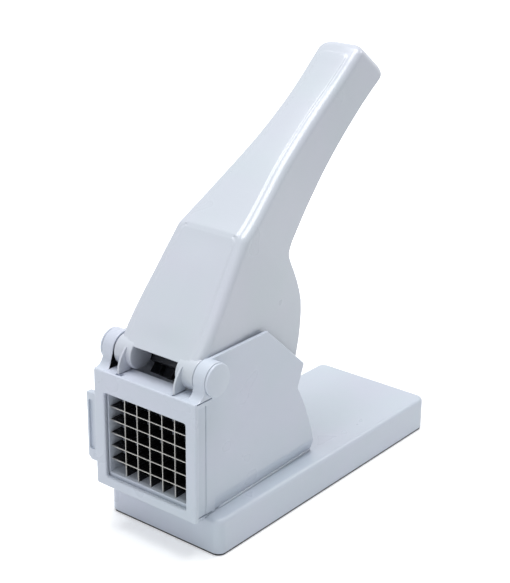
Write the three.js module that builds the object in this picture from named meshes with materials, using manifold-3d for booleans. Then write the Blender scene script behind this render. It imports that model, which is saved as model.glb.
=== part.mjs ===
// Lever press that cuts a potato into fries: a long base, a housing with a square front frame,
// a slide-in blade cassette behind the frame, and a lever that swings a pusher block at the
// blades. Millimetres, +X to the right seen from the front, +Y to the rear, +Z up. The origin
// is the middle of the underside. The lever stands raised, on its stops.
import * as THREE from 'three';
import { mergeVertices } from 'three/addons/utils/BufferGeometryUtils.js';
import Module from 'manifold-3d';

const wasm = await Module();
wasm.setup();

// Clearances and general sizes
const fitGap = 0.3; // between neighbours that fit in one another
const seatGap = 0.2; // between flat faces that rest on each other
const cutOverrun = 3; // how far a cut runs past the face it opens
const roundSides = 32; // sides of a full circle on the large round forms
const smallSides = 14; // sides of a full circle on screws and their holes
const cornerSteps = 5; // steps of a quarter turn at an outline's corner
const mergeTolerance = 0.00001; // vertices nearer than this are one

// Base
const baseWidth = 93;
const baseLength = 231;
const baseTop = 25;
const baseCorner = 6;
const baseTopRound = 3;
const baseWall = 2.5;
const padThickness = 1.2;
const padInset = 0.6;
const coverThickness = 3;

// Screws
const screwShank = 1.5;
const screwHead = 3.1;
const screwHeadCrown = 2.5;
const screwHeadHeight = 1.6;
const coverScrewLength = 13;
const coverScrewInsetX = 10.5;
const coverScrewInsetY = 15;
const bossRadius = 4;
const bodyScrewSpread = 19;
const bodyScrewFront = 22;
const bodyScrewRear = 84;

// Hinge, measured from the base's front edge and its underside
const hingeSetback = 2.6;
const hingeHeight = 118;
const pinRadius = 3;
const lugRadius = 10.8;
const lugInner = 32.4;
const capRadius = 10.4;
const capThickness = 2.5;
const capEdge = 0.4;
const spigotRadius = 5;
const spigotLength = 3;

// Front frame and cassette slot, depths measured from the base's front edge
const frameHalfWidth = 41.5;
const frameOverhang = 16;
const framePlate = 3.2;
const frameCorner = 1.8;
const frameBottom = 28.6;
const ledgeTop = 108;
const ledgeRear = 1.5;
const ledgeSide = 3.6; // height of the ledge's side faces
const windowHalfWidth = 33.2;
const windowBottom = 35.4;
const windowTop = 93.3;
const slotRear = 0.4;
const slotBottom = 26.4;
const slotTop = 103.4;
const lipThickness = 0.9;
const lipSetback = 2.2;
const lipEndInset = 6.5; // the lip stops this far short of the walls' left outer face
const bridgeFront = 0.8;
const lugFlare = 6.3;
const lugFlareRise = 5.6;
const lugFlareHollow = 1.6;

// Housing walls
const wallHalfWidth = 35.5;
const wallThickness = 2.5;
const wallTopRear = 58.7;
const wallShoulder = 97.2;
const wallShoulderHeight = 94.3;
const wallNotch = 90.9;
const wallNotchHeight = 79.2;
const wallFoot = 111.6;
const wallFootHeight = 37;
const wallFootInset = 3;
const wallFootThickness = 2;
const wallBulge = 4.8; // reach of the curve's middle handle out of the straight line
const pillarRear = 8.7;
const housingFloor = 2.5;
const housingFloorRear = 104;

// Chamber floor
const chamberHalfWidth = 27.7;
const chamberTop = 36.5;
const chamberPlate = 2.5;
const chamberLeg = 2;
const chamberFront = 1;
const chamberRear = 102;

// Cassette and its blades
const cassetteCorner = 3;
const openingHalfWidth = 32.9;
const cellColumns = 6;
const cellRows = 6;
const cellPitchX = 10.25;
const cellPitchZ = 9;
const gridBottom = 37.6;
const bladeThickness = 0.6;
const bladeFront = 1.5;
const bladeDepth = 9;
const bladeSeat = 3;
const retainerThickness = 1.8;
const retainerRim = 0.9;
const tabReach = 10.4;
const tabBottom = 40.7;
const tabTop = 88;
const tabThickness = 4.2;
const tabChamfer = 2.5;
const tabSlotWidth = 4.2;
const tabSlotDepth = 1.6;
const tabSlotInset = 1.7;
const tabSlotMargin = 5;
const tabSlotFoot = 7.8;

// Lever, in its own directions: along the handle from the hinge axis, and square to it
const leverSlope = 38;
const leverReach = 249;
const leverWall = 2.2;
const leverRound = 5;
const hubRadius = 10.3;
const hubOuter = 31.3;
const hubInner = 18;
const creaseReach = 78.5;
const creaseHeight = 30;
const plateHeightAtHinge = 9.2;
const hubPlateRear = -1.3;
const skirtDepth = 82;
const skirtRadius = 100;
const skirtHalfWidth = 32.2;
const gripHalfWidth = 15.2;
const gripCorner = 9;
const gripEndLean = 7;
const stopRibThickness = 1.5;
const stopRibOffset = 22.5;
const stopRibFoot = 15.3;
const stopRibFootLength = 10;
const stopRibToe = 2;
const stopRibReach = 9.6;
const stopRibBelly = 12.9; // reach of the convex front edge at the hinge axis's height
const stopRibDepth = 0.7;
const stopSlotDepth = 1.1;
const leverStroke = 56;

// Pusher block, as it stands when the lever is pressed down
const pusherHalfWidth = 28.6;
const pusherFace = 1.4;
const pusherPlate = 3.6;
const pusherBottom = 38;
const flangeBelowHub = 1.2;
const flangeThickness = 3;
const flangeReach = 34;
const flangeHalfWidth = 25.5;
const gussetThickness = 2.4;
const gussetSpread = 10.2;
const gussetFoot = 50;
const pegHalfWidth = 3.6;
const pegHalfHeight = 2.7;
const pegReach = 6.4;
const pegSteps = 2;
const pusherScrewSpread = 17;
const pusherScrewFront = 15;
const pusherScrewRear = 28.5;
const pusherScrewLength = 11;

// Places worked out from the sizes above
const baseFront = -baseLength / 2;
const hingeY = baseFront + hingeSetback;
const frameFront = baseFront - frameOverhang;
const frameBack = frameFront + framePlate;
const slotBack = baseFront + slotRear;
const wallInner = wallHalfWidth - wallThickness;
const housingUnderside = baseTop + seatGap;
const housingFloorTop = housingUnderside + housingFloor;
const gridHalfWidth = (cellColumns * cellPitchX) / 2;
const gridTop = gridBottom + cellRows * cellPitchZ;
const cassetteFront = frameBack + fitGap;
const cassetteBack = slotBack - fitGap;
const cassetteBottom = slotBottom + fitGap;
const cassetteTop = slotTop - fitGap;

// Finishes
const finish = (color, roughness, metalness) => ({ color, roughness, metalness });
const palePlastic = finish(0xcdd2dd, 0.34, 0);
const leverPlastic = finish(0xd3d7e1, 0.32, 0);
const darkPlastic = finish(0x2b2f36, 0.45, 0);
const bladeSteel = finish(0xb8b4aa, 0.28, 1);
const screwSteel = finish(0x9fa2a6, 0.35, 1);
const pinSteel = finish(0xa9acb0, 0.25, 1);
const padRubber = finish(0x26292c, 0.85, 0);

// A closed geometry as a solid, and a solid as a named mesh
function solid(geometry) {
  const bare = geometry.clone();
  bare.deleteAttribute('normal');
  bare.deleteAttribute('uv');
  const merged = mergeVertices(bare, mergeTolerance);
  return new wasm.Manifold(new wasm.Mesh({
    numProp: 3,
    vertProperties: new Float32Array(merged.attributes.position.array),
    triVerts: new Uint32Array(merged.index.array),
  }));
}

function geometryOf(body) {
  const { vertProperties, triVerts, numProp } = body.getMesh();
  const corners = vertProperties.length / numProp;
  const places = new Float32Array(corners * 3);
  for (let corner = 0; corner < corners; corner += 1) {
    places.set(vertProperties.subarray(corner * numProp, corner * numProp + 3), corner * 3);
  }
  const geometry = new THREE.BufferGeometry();
  geometry.setAttribute('position', new THREE.BufferAttribute(places, 3));
  geometry.setIndex(new THREE.BufferAttribute(new Uint32Array(triVerts), 1));
  return geometry;
}

const group = new THREE.Group();

function piece(name, body, look) {
  const geometry = geometryOf(body);
  geometry.computeVertexNormals();
  const mesh = new THREE.Mesh(geometry, new THREE.MeshStandardMaterial(look));
  mesh.name = name;
  group.add(mesh);
  return mesh;
}

// A solid moved, turned or mirrored by a matrix; a mirrored one has its triangles reversed
function placed(body, matrix) {
  const geometry = geometryOf(body);
  geometry.applyMatrix4(matrix);
  if (matrix.determinant() < 0) {
    geometry.index.array.reverse();
  }
  return solid(geometry);
}

const movedBy = (body, x, y, z) => placed(body, new THREE.Matrix4().makeTranslation(x, y, z));
const mirrored = (body) => placed(body, new THREE.Matrix4().makeScale(-1, 1, 1));
const onSide = (body, side) => (side > 0 ? body : mirrored(body));

const join = (solids) => solids.reduce((whole, next) => whole.add(next));
const cut = (whole, tools) => tools.reduce((rest, tool) => rest.subtract(tool), whole);

function block(x0, x1, y0, y1, z0, z1) {
  const geometry = new THREE.BoxGeometry(x1 - x0, y1 - y0, z1 - z0);
  geometry.translate((x0 + x1) / 2, (y0 + y1) / 2, (z0 + z1) / 2);
  return solid(geometry);
}

function extrude(outline, depth) {
  const shape = new THREE.Shape(outline.map(([u, v]) => new THREE.Vector2(u, v)));
  return new THREE.ExtrudeGeometry(shape, { depth, bevelEnabled: false, steps: 1 });
}

// Outlines pushed along X take [y, z] points, along Y [x, z] points, along Z [x, y] points
function alongX(outline, x0, x1) {
  const geometry = extrude(outline, x1 - x0);
  geometry.applyMatrix4(new THREE.Matrix4().set(0, 0, 1, x0, 1, 0, 0, 0, 0, 1, 0, 0, 0, 0, 0, 1));
  return solid(geometry);
}

function alongY(outline, y0, y1) {
  const geometry = extrude(outline.map(([x, z]) => [x, -z]), y1 - y0);
  geometry.applyMatrix4(new THREE.Matrix4().set(1, 0, 0, 0, 0, 0, 1, y0, 0, -1, 0, 0, 0, 0, 0, 1));
  return solid(geometry);
}

function alongZ(outline, z0, z1) {
  const geometry = extrude(outline, z1 - z0);
  geometry.translate(0, 0, z0);
  return solid(geometry);
}

function arc(centreU, centreV, radius, fromDegrees, toDegrees, steps) {
  return Array.from({ length: steps + 1 }, (_, step) => {
    const angle = THREE.MathUtils.degToRad(fromDegrees + ((toDegrees - fromDegrees) * step) / steps);
    return [centreU + radius * Math.cos(angle), centreV + radius * Math.sin(angle)];
  });
}

function disc(centreU, centreV, radius, sides) {
  return arc(centreU, centreV, radius, 0, 360 - 360 / sides, sides - 1);
}

function roundedRectangle(halfU, halfV, radius, steps) {
  return [
    ...arc(halfU - radius, halfV - radius, radius, 0, 90, steps),
    ...arc(radius - halfU, halfV - radius, radius, 90, 180, steps),
    ...arc(radius - halfU, radius - halfV, radius, 180, 270, steps),
    ...arc(halfU - radius, radius - halfV, radius, 270, 360, steps),
  ];
}

const rodAlongX = (y, z, radius, x0, x1, sides) => alongX(disc(y, z, radius, sides), x0, x1);
const rodAlongZ = (x, y, radius, z0, z1, sides) => alongZ(disc(x, y, radius, sides), z0, z1);

// A solid through rings of equally many points, closed by a fan at each end
function loft(rings) {
  const count = rings[0].length;
  const places = rings.flat(2);
  const triangles = [];
  for (let ring = 0; ring + 1 < rings.length; ring += 1) {
    for (let point = 0; point < count; point += 1) {
      const next = (point + 1) % count;
      const near = ring * count;
      const far = near + count;
      triangles.push(near + point, near + next, far + next);
      triangles.push(near + point, far + next, far + point);
    }
  }
  const last = (rings.length - 1) * count;
  for (let point = 1; point + 1 < count; point += 1) {
    triangles.push(0, point + 1, point);
    triangles.push(last, last + point, last + point + 1);
  }
  const geometry = new THREE.BufferGeometry();
  geometry.setAttribute('position', new THREE.Float32BufferAttribute(places, 3));
  geometry.setIndex(triangles);
  return solid(geometry);
}

// Screws: a pan or countersunk head below a shank that points up
function screw(length, countersunk) {
  const headTop = screwHeadHeight;
  const rim = countersunk ? 0 : screwHeadHeight / 2;
  const profile = [
    [0, 0],
    [countersunk ? screwHead : screwHeadCrown, 0],
    [screwHead, rim],
    [countersunk ? screwShank : screwHead, headTop],
    [screwShank, headTop],
    [screwShank, headTop + length - screwShank],
    [0, headTop + length],
  ];
  const kept = profile.filter(([r, z], i) => i === 0
    || Math.hypot(r - profile[i - 1][0], z - profile[i - 1][1]) > 0);
  const geometry = new THREE.LatheGeometry(kept.map(([r, z]) => new THREE.Vector2(r, z)), smallSides);
  geometry.rotateX(Math.PI / 2);
  return solid(geometry);
}

// Base: shell, bottom cover and pad
const coverBottom = padThickness + seatGap;
const coverTop = coverBottom + coverThickness;
const coverScrewPlaces = [-1, 1].flatMap((side) => [-1, 1].map((end) => [
  side * (baseWidth / 2 - coverScrewInsetX),
  end * (baseLength / 2 - coverScrewInsetY),
]));
const bodyScrewPlaces = [-1, 1].flatMap((side) => [bodyScrewFront, bodyScrewRear].map((depth) => [
  side * bodyScrewSpread,
  baseFront + depth,
]));

function baseRing(inset, z, tight) {
  const outline = roundedRectangle(
    baseWidth / 2 - inset - tight,
    baseLength / 2 - inset - tight,
    baseCorner - inset - tight,
    cornerSteps,
  );
  return outline.map(([x, y]) => [x, y, z]);
}

function baseBlock(tight, bottom, top, round) {
  const crown = arc(0, 0, round, 0, 90, cornerSteps).map(([across, up]) => (
    baseRing(round - across, top - round + up, tight)
  ));
  return loft([baseRing(0, bottom, tight), ...crown]);
}

function makeBase() {
  const outer = baseBlock(0, coverBottom, baseTop, baseTopRound);
  const hollow = baseBlock(baseWall, coverBottom - cutOverrun, baseTop - baseWall, baseTopRound - baseWall);
  const bosses = coverScrewPlaces.map(([x, y]) => (
    rodAlongZ(x, y, bossRadius, coverTop + fitGap, baseTop - baseWall / 2, smallSides)
  ));
  const bossHoles = coverScrewPlaces.map(([x, y]) => rodAlongZ(
    x,
    y,
    screwShank + fitGap,
    coverBottom - cutOverrun,
    coverBottom + coverScrewLength + screwHeadHeight + cutOverrun,
    smallSides,
  ));
  const bodyHoles = bodyScrewPlaces.map(([x, y]) => rodAlongZ(
    x,
    y,
    screwShank + fitGap,
    baseTop - baseWall - cutOverrun,
    baseTop + cutOverrun,
    smallSides,
  ));
  return cut(join([outer.subtract(hollow), ...bosses]), [...bossHoles, ...bodyHoles]);
}

function makeCover() {
  const outline = roundedRectangle(
    baseWidth / 2 - baseWall - fitGap,
    baseLength / 2 - baseWall - fitGap,
    baseCorner - baseWall - fitGap,
    cornerSteps,
  );
  const plate = alongZ(outline, coverBottom, coverTop);
  const sinks = coverScrewPlaces.map(([x, y]) => {
    const wide = screwHead + fitGap;
    const narrow = screwShank + fitGap;
    const profile = [
      [0, -cutOverrun],
      [wide, -cutOverrun],
      [wide, fitGap],
      [narrow, screwHeadHeight + fitGap],
      [narrow, coverThickness + cutOverrun],
      [0, coverThickness + cutOverrun],
    ];
    const geometry = new THREE.LatheGeometry(profile.map(([r, z]) => new THREE.Vector2(r, z)), smallSides);
    geometry.rotateX(Math.PI / 2);
    return movedBy(solid(geometry), x, y, coverBottom);
  });
  return cut(plate, sinks);
}

function makePad() {
  const outline = roundedRectangle(
    baseWidth / 2 - padInset,
    baseLength / 2 - padInset,
    baseCorner - padInset,
    cornerSteps,
  );
  return alongZ(outline, 0, padThickness);
}

piece('non_slip_pad', makePad(), padRubber);
piece('bottom_cover', makeCover(), palePlastic);
piece('base_shell', makeBase(), palePlastic);
coverScrewPlaces.forEach(([x, y], i) => {
  const body = movedBy(screw(coverScrewLength, true), x, y, coverBottom);
  piece(`cover_screw_${i + 1}`, body, screwSteel);
});

// Housing: side walls, floor, front frame, ledge and hinge lugs as one moulding
function wallOutline() {
  const notch = [baseFront + wallNotch, wallNotchHeight];
  const foot = [baseFront + wallFoot, housingUnderside];
  const middle = [(notch[0] + foot[0]) / 2, (notch[1] + foot[1]) / 2];
  const length = Math.hypot(foot[0] - notch[0], foot[1] - notch[1]);
  const outward = [(notch[1] - foot[1]) / length, (foot[0] - notch[0]) / length];
  const bulge = new THREE.QuadraticBezierCurve(
    new THREE.Vector2(...foot),
    new THREE.Vector2(middle[0] + outward[0] * wallBulge, middle[1] + outward[1] * wallBulge),
    new THREE.Vector2(...notch),
  ).getPoints(cornerSteps).map((point) => [point.x, point.y]);
  return [
    [slotBack, housingUnderside],
    ...bulge,
    [baseFront + wallShoulder, wallShoulderHeight],
    [baseFront + wallTopRear, hingeHeight + lugRadius],
    [hingeY, hingeHeight + lugRadius],
    [slotBack, hingeHeight],
  ];
}

function makeWall(side) {
  const section = [
    [wallInner, ledgeTop + lugRadius * 2],
    [wallInner, wallFootHeight],
    [wallHalfWidth - wallFootInset - wallFootThickness, housingUnderside],
    [wallHalfWidth - wallFootInset, housingUnderside],
    [wallHalfWidth, wallFootHeight],
    [wallHalfWidth, ledgeTop + lugRadius * 2],
  ];
  const outline = alongX(wallOutline(), 0, frameHalfWidth);
  const sheet = alongY(section, baseFront + pillarRear - fitGap, baseFront + wallFoot + cutOverrun);
  const pillar = block(
    wallInner,
    wallHalfWidth,
    slotBack,
    baseFront + pillarRear,
    housingUnderside,
    hingeHeight + lugRadius,
  );
  return onSide(join([sheet, pillar]).intersect(outline), side);
}

function makeLug(side) {
  const head = rodAlongX(hingeY, hingeHeight, lugRadius, lugInner, frameHalfWidth, roundSides);
  const frontFoot = hingeY - lugRadius - lugFlare;
  const neck = [
    [frontFoot, ledgeTop - fitGap],
    [hingeY - lugRadius - lugFlareHollow, ledgeTop + lugFlareHollow],
    [hingeY - lugRadius + fitGap, ledgeTop + lugFlareRise],
    [hingeY - lugRadius + fitGap / 2, hingeHeight],
    [hingeY + lugRadius / 2, hingeHeight],
    [hingeY, ledgeTop - fitGap],
  ];
  return onSide(head.add(alongX(neck, lugInner, frameHalfWidth)), side);
}

function makeLedge() {
  const front = frameFront + framePlate / 2;
  const rear = baseFront - ledgeRear;
  const slab = block(-wallHalfWidth, wallHalfWidth, front, rear, slotTop, ledgeTop);
  const corbel = [
    [-frameHalfWidth, ledgeTop],
    [-frameHalfWidth, ledgeTop - ledgeSide],
    [-wallHalfWidth, slotTop],
    [wallHalfWidth, slotTop],
    [frameHalfWidth, ledgeTop - ledgeSide],
    [frameHalfWidth, ledgeTop],
  ];
  const ends = [-1, 1].map((side) => block(
    side > 0 ? wallInner : -wallHalfWidth,
    side > 0 ? wallHalfWidth : -wallInner,
    front,
    baseFront + pillarRear,
    slotTop,
    ledgeTop + lugFlareRise / 2,
  ));
  return join([slab, alongY(corbel, front, rear), ...ends]);
}

function makeFrontFrame() {
  const middle = (frameBottom + ledgeTop) / 2;
  const lipBottom = slotBottom - lipThickness;
  const plateOutline = roundedRectangle(frameHalfWidth, (ledgeTop - frameBottom) / 2, frameCorner, 2)
    .map(([x, z]) => [x, z + middle]);
  const plate = alongY(plateOutline, frameFront, frameBack);
  const window = block(
    -windowHalfWidth,
    windowHalfWidth,
    frameFront - cutOverrun,
    frameBack + cutOverrun,
    windowBottom,
    windowTop,
  );
  const riser = block(
    lipEndInset - wallHalfWidth,
    wallHalfWidth,
    frameFront + lipSetback,
    frameBack,
    lipBottom,
    frameBottom + framePlate,
  );
  const lip = block(
    lipEndInset - wallHalfWidth,
    wallHalfWidth,
    frameFront + lipSetback,
    baseFront - fitGap,
    lipBottom,
    slotBottom,
  );
  const bridge = block(
    -wallHalfWidth,
    wallHalfWidth,
    baseFront - bridgeFront,
    slotBack,
    housingUnderside,
    slotBottom,
  );
  return join([plate.subtract(window), riser, lip, bridge]);
}

function makeHousing() {
  const floorHalf = wallHalfWidth - wallFootInset - wallFootThickness / 2;
  const floor = block(
    -floorHalf,
    floorHalf,
    slotBack - fitGap,
    baseFront + housingFloorRear,
    housingUnderside,
    housingFloorTop,
  );
  const slabFront = block(
    -wallInner - fitGap,
    wallInner + fitGap,
    slotBack - fitGap,
    baseFront + pillarRear,
    housingUnderside,
    slotBottom,
  );
  const slot = block(
    -frameHalfWidth - cutOverrun,
    frameHalfWidth + cutOverrun,
    frameBack,
    slotBack,
    slotBottom,
    slotTop,
  );
  const stopSlots = [-1, 1].map((side) => block(
    side * stopRibOffset - stopRibThickness / 2 - fitGap,
    side * stopRibOffset + stopRibThickness / 2 + fitGap,
    hingeY - stopRibFoot - stopSlotDepth,
    baseFront + cutOverrun,
    ledgeTop - stopSlotDepth,
    ledgeTop + cutOverrun,
  ));
  const pinHoles = rodAlongX(
    hingeY,
    hingeHeight,
    pinRadius + fitGap,
    -frameHalfWidth - cutOverrun,
    frameHalfWidth + cutOverrun,
    roundSides / 2,
  );
  const sockets = [-1, 1].map((side) => rodAlongX(
    hingeY,
    hingeHeight,
    spigotRadius + fitGap,
    side > 0 ? frameHalfWidth - spigotLength - fitGap : -frameHalfWidth - cutOverrun,
    side > 0 ? frameHalfWidth + cutOverrun : spigotLength + fitGap - frameHalfWidth,
    roundSides / 2,
  ));
  const screwHoles = bodyScrewPlaces.map(([x, y]) => rodAlongZ(
    x,
    y,
    screwShank + fitGap,
    housingUnderside - cutOverrun,
    housingFloorTop + cutOverrun,
    smallSides,
  ));
  const whole = join([
    makeWall(1),
    makeWall(-1),
    makeLug(1),
    makeLug(-1),
    makeLedge(),
    makeFrontFrame(),
    floor,
    slabFront,
  ]);
  return cut(whole, [slot, ...stopSlots, pinHoles, ...sockets, ...screwHoles]);
}

piece('housing', makeHousing(), palePlastic);

// Chamber floor: a raised channel between the walls, clamped by the body screws
function makeChamberFloor() {
  const bottom = housingFloorTop + seatGap;
  const front = baseFront + chamberFront;
  const rear = baseFront + chamberRear;
  const top = block(-chamberHalfWidth, chamberHalfWidth, front, rear, chamberTop - chamberPlate, chamberTop);
  const legs = [-1, 1].map((side) => block(
    side > 0 ? chamberHalfWidth - chamberLeg : -chamberHalfWidth,
    side > 0 ? chamberHalfWidth : chamberLeg - chamberHalfWidth,
    front,
    rear,
    bottom,
    chamberTop - chamberPlate / 2,
  ));
  const bosses = bodyScrewPlaces.map(([x, y]) => (
    rodAlongZ(x, y, bossRadius, bottom, chamberTop - chamberPlate / 2, smallSides)
  ));
  const holes = bodyScrewPlaces.map(([x, y]) => rodAlongZ(
    x,
    y,
    screwShank + fitGap,
    bottom - cutOverrun,
    chamberTop - chamberPlate,
    smallSides,
  ));
  return cut(join([top, ...legs, ...bosses]), holes);
}

piece('chamber_floor', makeChamberFloor(), darkPlastic);
const bodyScrewHead = baseTop - baseWall - seatGap - screwHeadHeight;
const bodyScrewLength = chamberTop - chamberPlate - fitGap - bodyScrewHead - screwHeadHeight;
bodyScrewPlaces.forEach(([x, y], i) => {
  piece(`body_screw_${i + 1}`, movedBy(screw(bodyScrewLength, false), x, y, bodyScrewHead), screwSteel);
});

// Hinge pins through the lugs, and the caps over their ends
const pinOuterEnd = frameHalfWidth - spigotLength - fitGap * 2;
const pinInnerEnd = hubInner + leverWall + fitGap;

function makeCap() {
  const inner = frameHalfWidth - spigotLength;
  const under = frameHalfWidth + fitGap;
  const face = under + capThickness;
  const profile = [
    [0, inner],
    [spigotRadius, inner],
    [spigotRadius, under],
    [capRadius, under],
    [capRadius, face - capEdge],
    [capRadius - capEdge, face],
    [0, face],
  ];
  const points = profile.map(([r, x]) => new THREE.Vector2(r, x));
  const geometry = new THREE.LatheGeometry(points, roundSides);
  geometry.rotateZ(-Math.PI / 2);
  return movedBy(solid(geometry), 0, hingeY, hingeHeight);
}

for (const [side, sideName] of [[-1, 'left'], [1, 'right']]) {
  const pin = rodAlongX(hingeY, hingeHeight, pinRadius, pinInnerEnd, pinOuterEnd, roundSides / 2);
  piece(`hinge_pin_${sideName}`, onSide(pin, side), pinSteel);
  piece(`hinge_cap_${sideName}`, onSide(makeCap(), side), palePlastic);
}

// Lever: [along, across] places become [y, z] by the handle's slope about the hinge axis
const slopeAngle = THREE.MathUtils.degToRad(leverSlope);
function leverPlace(along, across) {
  return [
    hingeY + along * Math.cos(slopeAngle) - across * Math.sin(slopeAngle),
    hingeHeight + along * Math.sin(slopeAngle) + across * Math.cos(slopeAngle),
  ];
}

// Shares of the lever's reach from the hinge axis, and of the sizes named beside them
const topShares = [ // [reach, crease height] on the grip
  [0.36, 0.965], [0.456, 0.917], [0.558, 0.877], [0.64, 0.823], [0.723, 0.79],
  [0.784, 0.767], [0.843, 0.757], [0.9, 0.77], [0.95, 0.79], [1.1, 0.8],
];
const topWidthShares = [ // [reach, grip half-width]
  [-0.05, 2.105], [0, 2.105], [0.116, 2.095], [0.193, 1.99], [0.232, 1.937], [0.275, 1.885],
  [0.322, 1.82], [0.36, 1.78], [0.456, 1.55], [0.558, 1.305], [0.64, 1.174],
  [0.723, 1.102], [0.784, 1.082], [0.843, 1.095], [0.9, 1.115], [1.1, 1.115],
];
const lowWidthShares = [ // [reach, skirt half-width]
  [-0.05, 1], [0.12, 0.998], [0.2, 0.985], [0.26, 0.97], [0.322, 0.95], [0.36, 0.925],
  [0.41, 0.87], [0.456, 0.84], [0.558, 0.73], [0.64, 0.665], [0.723, 0.63], [1.1, 0.63],
];

function readShares(shares, at) {
  const last = shares.length - 1;
  if (at <= shares[0][0]) {
    return shares[0][1];
  }
  const upper = shares.findIndex(([place]) => place > at);
  if (upper < 0) {
    return shares[last][1];
  }
  const [fromPlace, fromValue] = shares[upper - 1];
  const [toPlace, toValue] = shares[upper];
  return fromValue + ((toValue - fromValue) * (at - fromPlace)) / (toPlace - fromPlace);
}

function topHeight(along) {
  if (along <= creaseReach) {
    return plateHeightAtHinge + ((creaseHeight - plateHeightAtHinge) * along) / creaseReach;
  }
  const gripShares = [[creaseReach / leverReach, 1], ...topShares];
  return creaseHeight * readShares(gripShares, along / leverReach);
}

function endRounding(along) {
  const start = leverReach - gripCorner;
  if (along <= start) {
    return 0;
  }
  return gripCorner - Math.sqrt(Math.max(0, gripCorner ** 2 - (along - start) ** 2));
}

function leverRing(along, inset, depth) {
  const top = topHeight(along) - inset;
  const narrow = endRounding(along);
  const topHalf = gripHalfWidth * readShares(topWidthShares, along / leverReach) - inset - narrow;
  const lowHalf = skirtHalfWidth * readShares(lowWidthShares, along / leverReach) - inset - narrow;
  const round = Math.max(leverRound - inset, leverRound / 4);
  const corner = arc(topHalf - round, top - round, round, 0, 90, cornerSteps);
  const right = [[lowHalf, -depth], ...corner];
  const left = right.map(([x, across]) => [-x, across]).reverse();
  return [...right, ...left].reverse().map(([x, across]) => {
    const [y, z] = leverPlace(along, across);
    return [x, y, z];
  });
}

const leverStations = [
  -plateHeightAtHinge,
  ...topWidthShares.slice(1, 6).map(([place]) => place * leverReach),
  creaseReach,
  ...topShares.slice(0, 8).map(([place]) => place * leverReach),
  ...arc(leverReach - gripCorner, 0, gripCorner, 90, 18, cornerSteps).map(([place]) => place),
].sort((a, b) => a - b);

// The lever's side view: pusher line, skirt arc, neck, grip's underside and end
const skirtShares = [ // [along, across] as shares of the skirt's radius
  [0.021, -0.02], [0.288, -0.765], [0.37, -0.765], [0.48, -0.745], [0.601, -0.707],
  [0.686, -0.648], [0.76, -0.588], [0.833, -0.52], [0.88, -0.467], [0.914, -0.405],
  [0.941, -0.338], [0.964, -0.263], [0.982, -0.19], [0.99, -0.16], [1.02, -0.135], [1.085, -0.118],
];
const gripUnderShares = [ // [reach, crease height]
  [0.6, -0.353], [0.8, -0.253], [0.87, -0.223], [0.95, -0.257], [0.982, -0.27], [0.996, -0.23],
];

function leverSideOutline() {
  const skirt = skirtShares.map(([along, across]) => [along * skirtRadius, across * skirtRadius]);
  const grip = gripUnderShares.map(([along, across]) => [along * leverReach, across * creaseHeight]);
  const roundStart = topHeight(leverReach) - leverRound;
  const upperEnd = leverReach - gripEndLean;
  const end = arc(upperEnd - leverRound, roundStart, leverRound, 0, 90, cornerSteps);
  const outline = [
    ...skirt,
    ...grip,
    [leverReach, -leverRound / 2],
    ...end,
    [upperEnd - leverRound, creaseHeight + cutOverrun],
    [hubPlateRear, creaseHeight + cutOverrun],
    [hubPlateRear, 0],
  ];
  return outline.map(([along, across]) => leverPlace(along, across));
}

// Pieces drawn as they stand when the lever is pressed turn back to the raised lever
const raising = new THREE.Matrix4()
  .makeTranslation(0, hingeY, hingeHeight)
  .multiply(new THREE.Matrix4().makeRotationX(THREE.MathUtils.degToRad(leverStroke)))
  .multiply(new THREE.Matrix4().makeTranslation(0, -hingeY, -hingeHeight));
const raised = (body) => placed(body, raising);

const pusherScrewPlaces = [-1, 1].flatMap((side) => [pusherScrewFront, pusherScrewRear].map((depth) => [
  side * pusherScrewSpread,
  baseFront + depth,
]));
const flangeTop = hingeHeight - hubRadius - flangeBelowHub;
const flangeBottom = flangeTop - flangeThickness;

// Height of the middle of the lever's top plate over the pressed hinge, at a depth
function pressedPlateHeight(y) {
  const plateSlope = Math.atan2(creaseHeight - plateHeightAtHinge, creaseReach);
  const lean = slopeAngle + plateSlope - THREE.MathUtils.degToRad(leverStroke);
  const middle = plateHeightAtHinge * Math.cos(plateSlope) - leverWall / 2;
  return hingeHeight + middle / Math.cos(lean) + (y - hingeY) * Math.tan(lean);
}

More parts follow.
